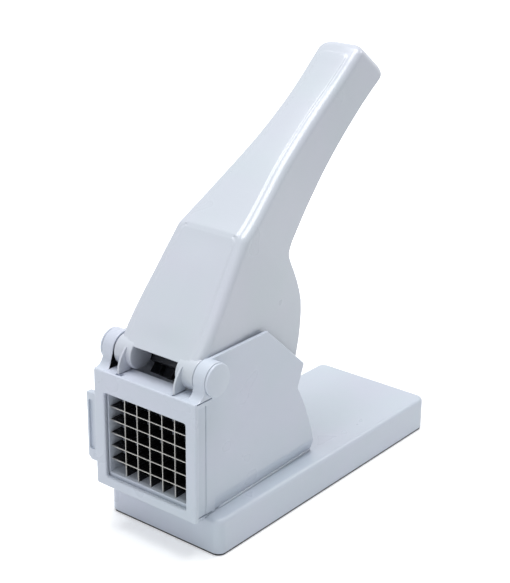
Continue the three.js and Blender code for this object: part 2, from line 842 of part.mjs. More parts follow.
function makeLever() {
  const outer = loft(leverStations.map((along) => leverRing(along, 0, skirtDepth)));
  const hollowStations = leverStations.filter((along) => along < leverReach - gripCorner / 2);
  const hollow = loft([-creaseHeight, ...hollowStations, leverReach - gripEndLean - leverWall]
    .map((along) => leverRing(along, leverWall, skirtDepth + cutOverrun)));
  const shell = outer.intersect(alongX(leverSideOutline(), -frameHalfWidth, frameHalfWidth)).subtract(hollow);
  const hubs = [-1, 1].map((side) => rodAlongX(
    hingeY,
    hingeHeight,
    hubRadius,
    side > 0 ? hubInner : -hubOuter,
    side > 0 ? hubOuter : -hubInner,
    roundSides,
  ));
  const ribOutline = [
    [hingeY - stopRibFoot, ledgeTop - stopRibDepth],
    [hingeY - stopRibFoot + stopRibFootLength, ledgeTop - stopRibDepth],
    [hingeY, hingeHeight],
    [hingeY - stopRibReach, hingeHeight + hubRadius / 2],
    [hingeY - stopRibBelly, hingeHeight],
    [hingeY - stopRibFoot, ledgeTop + stopRibToe],
  ];
  const ribs = [-1, 1].map((side) => alongX(
    ribOutline,
    side * stopRibOffset - stopRibThickness / 2,
    side * stopRibOffset + stopRibThickness / 2,
  ));
  const bosses = pusherScrewPlaces.map(([x, y]) => raised(
    rodAlongZ(x, y, bossRadius, flangeTop + fitGap, pressedPlateHeight(y), smallSides),
  ));
  const holes = pusherScrewPlaces.map(([x, y]) => raised(
    rodAlongZ(
      x,
      y,
      screwShank + fitGap,
      flangeTop - cutOverrun,
      flangeTop + pusherScrewLength - flangeThickness,
      smallSides,
    ),
  ));
  const bores = [-1, 1].map((side) => rodAlongX(
    hingeY,
    hingeHeight,
    pinRadius + fitGap,
    side > 0 ? hubInner + leverWall : -hubOuter - cutOverrun,
    side > 0 ? hubOuter + cutOverrun : -hubInner - leverWall,
    roundSides / 2,
  ));
  return cut(join([shell, ...hubs, ...ribs, ...bosses]), [...holes, ...bores]);
}

piece('lever_shell', makeLever(), leverPlastic);

// Pusher block: plate with a peg for each cell, hung from the lever by a flange with gussets
function pegOutline(cellMiddle) {
  const tipDepth = hingeY - (baseFront + pusherFace - pegReach);
  const rootDepth = hingeY - (baseFront + pusherFace + pusherPlate / 2);
  const drop = hingeHeight - cellMiddle;
  const radius = Math.hypot(drop, tipDepth - pegHalfHeight / 2);
  const angleAt = (depth, r) => 270 - THREE.MathUtils.radToDeg(Math.asin(depth / r));
  const far = radius + pegHalfHeight;
  const near = radius - pegHalfHeight;
  return [
    ...arc(hingeY, hingeHeight, far, angleAt(tipDepth, far), angleAt(rootDepth, far), pegSteps),
    ...arc(hingeY, hingeHeight, near, angleAt(rootDepth, near), angleAt(tipDepth, near), pegSteps),
  ];
}

function makePusher() {
  const face = baseFront + pusherFace;
  const back = face + pusherPlate;
  const plate = block(-pusherHalfWidth, pusherHalfWidth, face, back, pusherBottom, flangeTop);
  const rear = baseFront + flangeReach;
  const flange = block(-flangeHalfWidth, flangeHalfWidth, face, rear, flangeBottom, flangeTop);
  const gussetOutline = [
    [back - pusherPlate / 2, gussetFoot],
    [rear, flangeBottom],
    [rear, flangeBottom + flangeThickness / 2],
    [back - pusherPlate / 2, flangeBottom + flangeThickness / 2],
  ];
  const gussets = [-1, 0, 1].map((place) => alongX(
    gussetOutline,
    place * gussetSpread - gussetThickness / 2,
    place * gussetSpread + gussetThickness / 2,
  ));
  const pegs = [];
  for (let row = 0; row < cellRows; row += 1) {
    const outline = pegOutline(gridBottom + row * cellPitchZ + cellPitchZ / 2);
    for (let column = 0; column < cellColumns; column += 1) {
      const middle = column * cellPitchX + cellPitchX / 2 - gridHalfWidth;
      pegs.push(alongX(outline, middle - pegHalfWidth, middle + pegHalfWidth));
    }
  }
  const holes = pusherScrewPlaces.map(([x, y]) => rodAlongZ(
    x,
    y,
    screwShank + fitGap,
    flangeBottom - cutOverrun,
    flangeTop + cutOverrun,
    smallSides,
  ));
  return raised(cut(join([plate, flange, ...gussets, ...pegs]), holes));
}

piece('pusher_block', makePusher(), darkPlastic);
pusherScrewPlaces.forEach(([x, y], i) => {
  const head = flangeBottom - seatGap - screwHeadHeight;
  piece(`pusher_screw_${i + 1}`, raised(movedBy(screw(pusherScrewLength, false), x, y, head)), screwSteel);
});

// Cassette: frame with pull tab, retainer ring and the blades
const bladeNear = cassetteFront + bladeFront;
const bladeFar = bladeNear + bladeDepth;
const retainerFront = cassetteBack - retainerThickness;
const tabEnd = -frameHalfWidth - tabReach;

function gridCut(y0, y1) {
  return block(-openingHalfWidth, openingHalfWidth, y0, y1, gridBottom, gridTop);
}

const uprightPlaces = Array.from({ length: cellColumns - 1 }, (_, i) => (i + 1) * cellPitchX - gridHalfWidth);
const levelPlaces = Array.from({ length: cellRows - 1 }, (_, i) => gridBottom + (i + 1) * cellPitchZ);

function makeCassette() {
  const bodyOutline = [
    [-wallHalfWidth, cassetteFront],
    [wallHalfWidth, cassetteFront],
    [wallHalfWidth, cassetteBack],
    [-wallHalfWidth, cassetteBack],
  ];
  const body = alongZ(bodyOutline, cassetteBottom, cassetteTop);
  const arm = block(
    -frameHalfWidth - fitGap,
    -wallHalfWidth + fitGap,
    cassetteFront,
    cassetteFront + tabThickness,
    tabBottom,
    tabTop,
  );
  const tabOutline = [
    [-frameHalfWidth, tabBottom],
    [-frameHalfWidth, tabTop],
    [tabEnd, tabTop],
    [tabEnd, tabBottom + tabChamfer],
    [tabEnd + tabChamfer, tabBottom],
  ].reverse();
  const tab = alongY(tabOutline, cassetteFront, cassetteFront + tabThickness);
  const tabSlot = block(
    tabEnd + tabSlotInset,
    tabEnd + tabSlotInset + tabSlotWidth,
    cassetteFront - cutOverrun,
    cassetteFront + tabSlotDepth,
    tabBottom + tabSlotFoot,
    tabTop - tabSlotMargin,
  );
  const rebate = block(
    -wallHalfWidth + retainerRim,
    wallHalfWidth - retainerRim,
    retainerFront - fitGap,
    cassetteBack + cutOverrun,
    gridBottom - bladeSeat * 2,
    gridTop + bladeSeat * 2,
  );
  const halfSlot = bladeThickness / 2 + fitGap;
  const uprightSlots = uprightPlaces.map((x) => block(
    x - halfSlot,
    x + halfSlot,
    bladeNear - fitGap,
    cassetteBack + cutOverrun,
    gridBottom - bladeSeat - fitGap,
    gridTop + bladeSeat + fitGap,
  ));
  const levelSlots = levelPlaces.map((z) => block(
    -gridHalfWidth - bladeSeat - fitGap,
    gridHalfWidth + bladeSeat + fitGap,
    bladeNear - fitGap,
    cassetteBack + cutOverrun,
    z - halfSlot,
    z + halfSlot,
  ));
  const opening = gridCut(cassetteFront - cutOverrun, cassetteBack + cutOverrun);
  const cornerOutline = [
    [cassetteBack - cassetteCorner, cassetteTop + cutOverrun],
    [cassetteBack - cassetteCorner, cassetteTop],
    ...arc(cassetteBack - cassetteCorner, cassetteTop - cassetteCorner, cassetteCorner, 90, 0, cornerSteps),
    [cassetteBack + cutOverrun, cassetteTop - cassetteCorner],
    [cassetteBack + cutOverrun, cassetteTop + cutOverrun],
  ].reverse();
  const rearCorner = alongX(cornerOutline, -frameHalfWidth - cutOverrun, frameHalfWidth + cutOverrun);
  return cut(join([body, arm, tab]), [opening, rebate, tabSlot, rearCorner, ...uprightSlots, ...levelSlots]);
}

function makeRetainer() {
  const ring = block(
    -wallHalfWidth + retainerRim + fitGap,
    wallHalfWidth - retainerRim - fitGap,
    retainerFront,
    cassetteBack,
    gridBottom - bladeSeat * 2 + fitGap,
    gridTop + bladeSeat * 2 - fitGap,
  );
  return ring.subtract(gridCut(retainerFront - cutOverrun, cassetteBack + cutOverrun));
}

piece('cassette_frame', makeCassette(), palePlastic);
piece('blade_retainer', makeRetainer(), palePlastic);

// Upright blades are notched from behind and level blades from the front, so they cross
const lapMiddle = (bladeNear + bladeFar) / 2;
const lapHalf = bladeThickness / 2 + fitGap;
uprightPlaces.forEach((x, i) => {
  const blade = block(
    x - bladeThickness / 2,
    x + bladeThickness / 2,
    bladeNear,
    bladeFar,
    gridBottom - bladeSeat,
    gridTop + bladeSeat,
  );
  const notches = levelPlaces.map((z) => block(
    x - bladeThickness,
    x + bladeThickness,
    lapMiddle - fitGap / 2,
    bladeFar + cutOverrun,
    z - lapHalf,
    z + lapHalf,
  ));
  piece(`upright_blade_${i + 1}`, cut(blade, notches), bladeSteel);
});
levelPlaces.forEach((z, i) => {
  const blade = block(
    -gridHalfWidth - bladeSeat,
    gridHalfWidth + bladeSeat,
    bladeNear,
    bladeFar,
    z - bladeThickness / 2,
    z + bladeThickness / 2,
  );
  const notches = uprightPlaces.map((x) => block(
    x - lapHalf,
    x + lapHalf,
    bladeNear - cutOverrun,
    lapMiddle + fitGap / 2,
    z - bladeThickness,
    z + bladeThickness,
  ));
  piece(`level_blade_${i + 1}`, cut(blade, notches), bladeSteel);
});

export default group;
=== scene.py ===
"""Lever press that cuts a potato into fries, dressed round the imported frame.

Sizes are millimetres in the frame's axes: +X to the right seen from the front, +Y to the rear and
+Z up. Depths named in a class are counted from the base's front edge, as on a bench drawing.
"""
import logging
import math
from dataclasses import dataclass, field
from enum import Enum
from typing import Any

import bmesh
import bpy
import numpy as np
from mathutils import Matrix, Vector
from numpy.typing import NDArray


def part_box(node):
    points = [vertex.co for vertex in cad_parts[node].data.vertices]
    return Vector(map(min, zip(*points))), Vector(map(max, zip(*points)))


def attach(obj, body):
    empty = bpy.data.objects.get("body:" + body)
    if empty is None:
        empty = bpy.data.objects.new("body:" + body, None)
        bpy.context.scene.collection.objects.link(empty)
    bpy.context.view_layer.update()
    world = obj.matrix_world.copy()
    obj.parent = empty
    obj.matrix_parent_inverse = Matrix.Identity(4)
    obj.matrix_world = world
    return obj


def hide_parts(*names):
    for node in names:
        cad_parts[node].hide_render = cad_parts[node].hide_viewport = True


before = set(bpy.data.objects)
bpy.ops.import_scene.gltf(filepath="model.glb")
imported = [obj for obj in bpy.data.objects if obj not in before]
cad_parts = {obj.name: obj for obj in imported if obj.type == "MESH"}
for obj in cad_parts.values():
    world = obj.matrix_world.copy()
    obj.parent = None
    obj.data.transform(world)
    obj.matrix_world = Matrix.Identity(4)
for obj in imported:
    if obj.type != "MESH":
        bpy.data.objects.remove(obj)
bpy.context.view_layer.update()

MM = 0.001
PHOTO_WIDTH = 510
PHOTO_HEIGHT = 583

# Steps of a rim's quarter turn
RIM_STEPS = 4

# Distance within which doubled points are welded
WELD = 0.0005

# Least cosine of half a corner's turn that an inset divides by
LEAST_COSINE = 0.5

# Numbers of the screws in each set
SCREW_NUMBERS = range(1, 5)

# Cutting grid: cells each way, a cell's width and height, and the height of the lowest edge
CELLS = 6
PITCH = (10.25, 9.0)
GRID_BOTTOM = 37.6

log = logging.getLogger("fry_cutter")

Points = NDArray[np.float64]
Numbers = NDArray[np.int64]
Pair = tuple[float, float]
Colour = tuple[float, float, float]
Triple = tuple[float, float, float]


class Along(Enum):
    """Axis that an outline (u, v) is carried along, as the order of (u, v, depth) in (x, y, z)."""

    X = (2, 0, 1)
    Y = (0, 2, 1)
    Z = (0, 1, 2)

    def place(self, u: Points, v: Points, depth: Points) -> Points:
        """Points in the frame from an outline's u and v and the depth along this axis.

        Args:
            u: First outline coordinate.
            v: Second outline coordinate.
            depth: Distance along the axis.

        Returns:
            The points, with (x, y, z) as the last dimension.
        """
        given = np.broadcast_arrays(u, v, depth)
        return np.stack([given[index] for index in self.value], axis=-1)


class Slot(Enum):
    """Material slots of the record."""

    PALE = "pale_plastic"
    LEVER = "lever_plastic"
    # Near-black finish whose dark is painted shade: it stands in for the shade inside the chamber
    DARK = "dark_plastic"
    BLADE = "blade_steel"
    SCREW = "screw_steel"
    PIN = "pin_steel"
    PAD = "pad_rubber"


class Body(Enum):
    """Bodies that the pieces ride on."""

    STAND = "stand"
    LEVER = "lever"
    CASSETTE = "cassette"


@dataclass(frozen=True)
class NodeBox:
    """Lowest and highest corner of a node of the frame, in millimetres."""

    low: Points
    high: Points

    @classmethod
    def of(cls, node: str) -> "NodeBox":
        """The box of one node at rest."""
        low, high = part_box(node)
        return cls(np.array(low) / MM, np.array(high) / MM)

    @property
    def middle(self) -> Points:
        """Centre of the box."""
        return (self.low + self.high) / 2

    @property
    def size(self) -> Points:
        """Lengths of the box's sides."""
        return self.high - self.low


@dataclass
class Surface:
    """A shape in the making: points, four-sided faces, and flat end faces as rings of point numbers."""

    points: Points
    quads: Numbers
    ends: list[Numbers] = field(default_factory=list)

    def volume(self) -> float:
        """Volume inside the faces, a sixth of the sum of a . (b x c).

        Returns:
            The volume, negative where the faces point inwards.
        """
        middle = self.points.mean(axis=0)
        corners = self.points[self.quads] - middle
        triangles = [corners[:, [0, 1, 2]], corners[:, [0, 2, 3]]]
        for ring in self.ends:
            rim = self.points[ring] - middle
            first = np.broadcast_to(rim[0], rim[2:].shape)
            triangles.append(np.stack([first, rim[1:-1], rim[2:]], axis=1))
        every = np.concatenate(triangles)
        return float(np.einsum("ij,ij->", every[:, 0], np.cross(every[:, 1], every[:, 2])) / 6)

    def reversed(self) -> "Surface":
        """The same surface with its faces turned round."""
        return Surface(self.points, self.quads[:, ::-1], [ring[::-1] for ring in self.ends])

    def outward(self) -> "Surface":
        """The same surface with its faces pointing outwards."""
        return self if self.volume() > 0 else self.reversed()

    def mirrored(self) -> "Surface":
        """The surface on the other side of the plane X = 0."""
        flipped = Surface(self.points * np.array([-1, 1, 1]), self.quads, self.ends)
        return flipped.reversed()

    def turned(self, degrees: float, y: float, z: float) -> "Surface":
        """The surface turned about a line along X, from +Y towards +Z.

        Args:
            degrees: Angle of the turn.
            y: Depth of the line.
            z: Height of the line.

        Returns:
            The turned surface.
        """
        angle = math.radians(degrees)
        across = self.points[:, 1] - y
        up = self.points[:, 2] - z
        turned_y = y + across * math.cos(angle) - up * math.sin(angle)
        turned_z = z + across * math.sin(angle) + up * math.cos(angle)
        return Surface(np.stack([self.points[:, 0], turned_y, turned_z], axis=1), self.quads, self.ends)

    def pair(self) -> list["Surface"]:
        """The surface and its mirror image."""
        return [self, self.mirrored()]


def gathered(surfaces: list[Surface]) -> Surface:
    """Several surfaces as one, with their point numbers counted on.

    Args:
        surfaces: The surfaces, in order.

    Returns:
        One surface that holds them all.
    """
    starts = np.cumsum([0] + [len(surface.points) for surface in surfaces[:-1]])
    quads = [surface.quads + start for surface, start in zip(surfaces, starts)]
    ends = [ring + start for surface, start in zip(surfaces, starts) for ring in surface.ends]
    return Surface(np.concatenate([surface.points for surface in surfaces]), np.concatenate(quads), ends)


def grid_quads(rows: int, columns: int, ring_rows: bool = False, ring_columns: bool = False) -> Numbers:
    """Faces between neighbouring points of a grid that is numbered row by row.

    Args:
        rows: Number of rows.
        columns: Number of columns.
        ring_rows: Whether the last row meets the first.
        ring_columns: Whether the last column meets the first.

    Returns:
        Four point numbers for each face.
    """
    row = np.arange(rows if ring_rows else rows - 1)
    column = np.arange(columns if ring_columns else columns - 1)
    near_row, near_column = (part.ravel() for part in np.meshgrid(row, column, indexing="ij"))
    far_row = (near_row + 1) % rows
    far_column = (near_column + 1) % columns
    near, far = near_row * columns, far_row * columns
    return np.stack([near + near_column, near + far_column, far + far_column, far + near_column], axis=1)


def arc(centre: Pair, radius: float, start: float, end: float, steps: int) -> Points:
    """Points on a circular arc: centre + radius (cos a, sin a), with a from start to end in degrees.

    Args:
        centre: Centre of the arc.
        radius: Its radius.
        start: First angle.
        end: Last angle.
        steps: Number of steps between them.

    Returns:
        One point more than there are steps.
    """
    angle = np.radians(np.linspace(start, end, steps + 1))
    return np.array(centre) + radius * np.stack([np.cos(angle), np.sin(angle)], axis=1)


def rounded(corners: list[Pair], radius: float, steps: int = 5) -> Points:
    """A closed outline with each corner replaced by an arc that touches both of its sides.

    With a and b the directions from corner P to its neighbours and h half the angle between them, the
    arc's centre is P + (a + b) / |a + b| radius / sin h. The arc runs between the touching points
    P + a radius / tan h and P + b radius / tan h, by turning one radius into the other.

    Args:
        corners: The outline's corners, in order.
        radius: Radius of each arc.
        steps: Steps of each arc.

    Returns:
        The rounded outline.
    """
    place = np.array(corners, dtype=float)
    before = np.roll(place, 1, axis=0) - place
    after = np.roll(place, -1, axis=0) - place
    before /= np.linalg.norm(before, axis=1, keepdims=True)
    after /= np.linalg.norm(after, axis=1, keepdims=True)
    half = np.arccos(np.clip((before * after).sum(axis=1), -1, 1)) / 2
    bisector = before + after
    bisector /= np.linalg.norm(bisector, axis=1, keepdims=True)
    centre = place + bisector * (radius / np.sin(half))[:, None]
    first = place + before * (radius / np.tan(half))[:, None] - centre
    last = place + after * (radius / np.tan(half))[:, None] - centre
    turn = (np.pi - 2 * half)[:, None, None]
    share = np.linspace(0, 1, steps + 1)[None, :, None]
    swung = np.sin((1 - share) * turn) * first[:, None] + np.sin(share * turn) * last[:, None]
    return (centre[:, None] + swung / np.sin(turn)).reshape(-1, 2)


def box_outline(u0: float, u1: float, v0: float, v1: float, radius: float, steps: int = 5) -> Points:
    """A rectangle with rounded corners."""
    return rounded([(u0, v0), (u1, v0), (u1, v1), (u0, v1)], radius, steps)


def drawn_in(outline: Points, amounts: Points) -> Points:
    """An outline drawn inwards by several amounts at once.

    Each point moves along the mean of its two sides' inward normals, by the amount divided by the
    cosine of half the turn, so that straight sides move by exactly that amount. The cosine is held
    at LEAST_COSINE or more.

    Args:
        outline: Closed outline, anticlockwise.
        amounts: How far each new outline lies inside the given one.

    Returns:
        One outline for each amount.
    """
    side = np.roll(outline, -1, axis=0) - outline
    side /= np.linalg.norm(side, axis=1, keepdims=True)
    normal = np.stack([-side[:, 1], side[:, 0]], axis=1)
    mean = normal + np.roll(normal, 1, axis=0)
    mean /= np.linalg.norm(mean, axis=1, keepdims=True)
    stretch = 1 / np.clip((mean * normal).sum(axis=1, keepdims=True), LEAST_COSINE, 1)
    return outline[None] + np.asarray(amounts)[:, None, None] * (mean * stretch)[None]


def anticlockwise(outline: Points) -> Points:
    """The outline in anticlockwise order, told by the sign of its area.

    Args:
        outline: Closed outline.

    Returns:
        The same outline, or its reverse.
    """
    u, v = outline.T
    area = float((u * np.roll(v, -1) - np.roll(u, -1) * v).sum())
    return outline if area > 0 else outline[::-1]


def slab(
    outline: Points, low: float, high: float, edge: float, along: Along, steps: int = RIM_STEPS
) -> Surface:
    """A closed plate: an outline carried from low to high, with both rims rounded.

    At angle a of a rim's quarter turn the outline is drawn in by edge (1 - sin a) and stands
    edge (1 - cos a) in from the end, so a = 0 lies on the end face and a = 90 degrees on the side.

    Args:
        outline: Closed outline.
        low: Where the plate starts along its axis.
        high: Where it ends.
        edge: Radius of the rims.
        along: Axis that the outline is carried along.
        steps: Steps of each rim.

    Returns:
        The closed surface.
    """
    angle = np.linspace(0, np.pi / 2, steps + 1)
    inset = edge * (1 - np.sin(angle))
    rise = edge * (1 - np.cos(angle))
    depth = np.concatenate([low + rise, (high - rise)[::-1]])
    rings = drawn_in(anticlockwise(outline), np.concatenate([inset, inset[::-1]]))
    points = along.place(rings[..., 0], rings[..., 1], depth[:, None]).reshape(-1, 3)
    count = len(outline)
    ends = [np.arange(count)[::-1], np.arange(count) + (len(depth) - 1) * count]
    return Surface(points, grid_quads(len(depth), count, ring_columns=True), ends).outward()


def ring_frame(
    outer: Points, inner: Points, low: float, high: float, edge: float, along: Along
) -> Surface:
    """A closed frame: a rectangular profile with rounded edges carried round an opening.

    The profile runs over the outer side, the low face, the inner side and the high face. Each of its
    four corners is a quarter turn of radius edge, with the same formula as a slab's rim.

    Args:
        outer: Outer outline.
        inner: Outline of the opening, with as many points.
        low: Where the frame starts along its axis.
        high: Where it ends.
        edge: Radius of the four edges.
        along: Axis through the opening.

    Returns:
        The closed surface.
    """
    angle = np.linspace(0, np.pi / 2, RIM_STEPS + 1)
    inset = edge * (1 - np.sin(angle))
    rise = edge * (1 - np.cos(angle))
    inset_round = np.concatenate([inset, inset[::-1]])
    depth = np.concatenate([high - rise, (low + rise)[::-1]])
    outside = drawn_in(anticlockwise(outer), inset_round)
    inside = drawn_in(anticlockwise(inner), -inset_round)[::-1]
    rings = np.concatenate([outside, inside])
    depths = np.concatenate([depth, depth[::-1]])
    points = along.place(rings[..., 0], rings[..., 1], depths[:, None]).reshape(-1, 3)
    return Surface(points, grid_quads(len(depths), len(outer), ring_rows=True, ring_columns=True)).outward()


def lathe(profile: Points, centre: Pair, along: Along, sides: int = 96) -> Surface:
    """A turned shape: a profile of (radius, depth) carried round an axis, (r cos t, r sin t, depth).

    Args:
        profile: Radius and depth of each step, from pole to pole.
        centre: Where the axis stands in the outline's plane.
        along: Direction of the axis.
        sides: Steps of the full turn.

    Returns:
        The closed surface; its poles are closed when it is welded.
    """
    turn = np.linspace(0, 2 * np.pi, sides, endpoint=False)[None]
    radius, depth = profile[:, :1], profile[:, 1:]
    u = centre[0] + radius * np.cos(turn)
    v = centre[1] + radius * np.sin(turn)
    points = along.place(u, v, depth).reshape(-1, 3)
    return Surface(points, grid_quads(len(profile), sides, ring_columns=True)).outward()


def turned_rod(
    centre: Pair, radius: float, low: float, high: float, edge: float, along: Along
) -> Surface:
    """A rod with rounded rims, as a turned shape.

    Args:
        centre: Where the axis stands in the outline's plane.
        radius: Radius of the rod.
        low: Where it starts along its axis.
        high: Where it ends.
        edge: Radius of the rims.
        along: Direction of the axis.

    Returns:
        The closed surface.
    """
    rim = arc((radius - edge, 0), edge, -90, 0, RIM_STEPS)
    profile = np.concatenate([
        [(0, low)],
        rim + (0, low + edge),
        (rim * (1, -1) + (0, high - edge))[::-1],
        [(0, high)],
    ])
    return lathe(profile, centre, along)


def smooth_through(knots: tuple[Pair, ...], at: Points) -> Points:
    """A curve through knots: between two of them the cubic that keeps their heights and slopes.

    A knot's slope is the mean of the slopes of its two sides. With t the share of the way and d the
    distance, the height is (1+2t)(1-t)^2 y0 + t(1-t)^2 d m0 + t^2(3-2t) y1 + t^2(t-1) d m1.

    Args:
        knots: Places and heights.
        at: Places to read.

    Returns:
        The heights there.
    """
    place, height = np.array(knots, dtype=float).T
    side = np.diff(height) / np.diff(place)
    slope = np.concatenate([side[:1], (side[1:] + side[:-1]) / 2, side[-1:]])
    cell = np.clip(np.searchsorted(place, at) - 1, 0, len(place) - 2)
    width = place[cell + 1] - place[cell]
    t = (at - place[cell]) / width
    start = (1 + 2 * t) * (1 - t) ** 2 * height[cell] + t * (1 - t) ** 2 * width * slope[cell]
    end = t**2 * (3 - 2 * t) * height[cell + 1] + t**2 * (t - 1) * width * slope[cell + 1]
    return start + end


def smooth_step(value: Points) -> Points:
    """A soft step from 0 to 1, t^2 (3 - 2t) with t held between 0 and 1."""
    held = np.clip(value, 0, 1)
    return held**2 * (3 - 2 * held)


class Blank:
    """An object on the bench: a surface, the modifiers that finish it and the solids used on it."""

    EASE_SEGMENTS = 2
    NORMAL_WEIGHT = 80

    def __init__(self, name: str, surface: Surface) -> None:
        """Puts a surface on the bench.

        Args:
            name: Name of the finished piece.
            surface: Its starting shape.
        """
        self.name = name
        self.piece = self._placed(name, surface)
        self.tools: list[bpy.types.Object] = []

    @staticmethod
    def _placed(name: str, surface: Surface) -> bpy.types.Object:
        """A surface as an object in the scene, in metres, with its doubled points welded.

        Args:
            name: Name of the object.
            surface: Its shape.

        Returns:
            The object.
        """
        mesh = bpy.data.meshes.new(name)
        faces = surface.quads.tolist() + [ring.tolist() for ring in surface.ends]
        mesh.from_pydata((surface.points * MM).tolist(), [], faces)
        work = bmesh.new()
        work.from_mesh(mesh)
        bmesh.ops.remove_doubles(work, verts=work.verts, dist=MM * WELD)
        bmesh.ops.dissolve_degenerate(work, edges=work.edges, dist=MM * WELD)
        work.to_mesh(mesh)
        work.free()
        placed = bpy.data.objects.new(name, mesh)
        bpy.context.scene.collection.objects.link(placed)
        return placed

    def _use(self, tool: Surface, operation: str) -> "Blank":
        """Adds one solid as a tool.

        Args:
            tool: The solid.
            operation: What it does to the piece, UNION or DIFFERENCE.

        Returns:
            This blank.
        """
        helper = self._placed(f"{self.name}_tool", tool)
        self.tools.append(helper)
        step = self.piece.modifiers.new("tool", "BOOLEAN")
        step.operation = operation
        step.solver = "MANIFOLD"
        step.object = helper
        return self

    def joined(self, *tools: Surface) -> "Blank":
        """Joins solids to the piece.

        Args:
            tools: The solids.

        Returns:
            This blank.
        """
        for tool in tools:
            self._use(tool, "UNION")
        return self

    def cut(self, *tools: Surface) -> "Blank":
        """Cuts solids out of the piece.

        Args:
            tools: The solids.

        Returns:
            This blank.
        """
        for tool in tools:
            self._use(tool, "DIFFERENCE")
        return self

    def walled(self, thickness: float) -> "Blank":
        """Gives an open sheet a wall on its inner side.

        Args:
            thickness: Thickness of the wall.

        Returns:
            This blank.
        """
        step = self.piece.modifiers.new("wall", "SOLIDIFY")
        step.thickness = thickness * MM
        step.offset = -1
        step.use_even_offset = True
        step.use_quality_normals = True
        return self

    def eased(self, width: float, degrees: float) -> "Blank":
        """Rounds the sharp edges.

        Args:
            width: How far the rounding reaches from the edge.
            degrees: Angle from which an edge counts as sharp.

        Returns:
            This blank.
        """
        step = self.piece.modifiers.new("ease", "BEVEL")
        step.width = width * MM
        step.segments = self.EASE_SEGMENTS
        step.limit_method = "ANGLE"
        step.angle_limit = math.radians(degrees)
        return self

    def done(self, crease: float = 32.0) -> bpy.types.Object:
        """Applies every step and shades the piece smooth between its edges.

        Args:
            crease: Angle in degrees from which an edge stays sharp.

        Returns:
            The finished object.
        """
        graph = bpy.context.evaluated_depsgraph_get()
        mesh = bpy.data.meshes.new_from_object(self.piece.evaluated_get(graph))
        self.piece.modifiers.clear()
        old = self.piece.data
        self.piece.data = mesh
        bpy.data.meshes.remove(old)
        for helper in self.tools:
            bpy.data.objects.remove(helper)
        mesh.shade_smooth()
        mesh.set_sharp_from_angle(angle=math.radians(crease))
        weights = self.piece.modifiers.new("even_normals", "WEIGHTED_NORMAL")
        weights.weight = self.NORMAL_WEIGHT
        weights.keep_sharp = True
        return self.piece


def rays_for_white(tree: bpy.types.NodeTree) -> bpy.types.NodeSocket:
    """Tells the rays that see the surroundings as white from those that only take light from them.

    Args:
        tree: Node tree of a material or a world.

    Returns:
        1 for camera, glossy and transmission rays, and 0 for the others.
    """
    rays = tree.nodes.new("ShaderNodeLightPath")
    seen = rays.outputs["Is Camera Ray"]
    for kind in ("Is Glossy Ray", "Is Transmission Ray"):
        either = tree.nodes.new("ShaderNodeMath")
        either.operation = "MAXIMUM"
        tree.links.new(seen, either.inputs[0])
        tree.links.new(rays.outputs[kind], either.inputs[1])
        seen = either.outputs[0]
    return seen


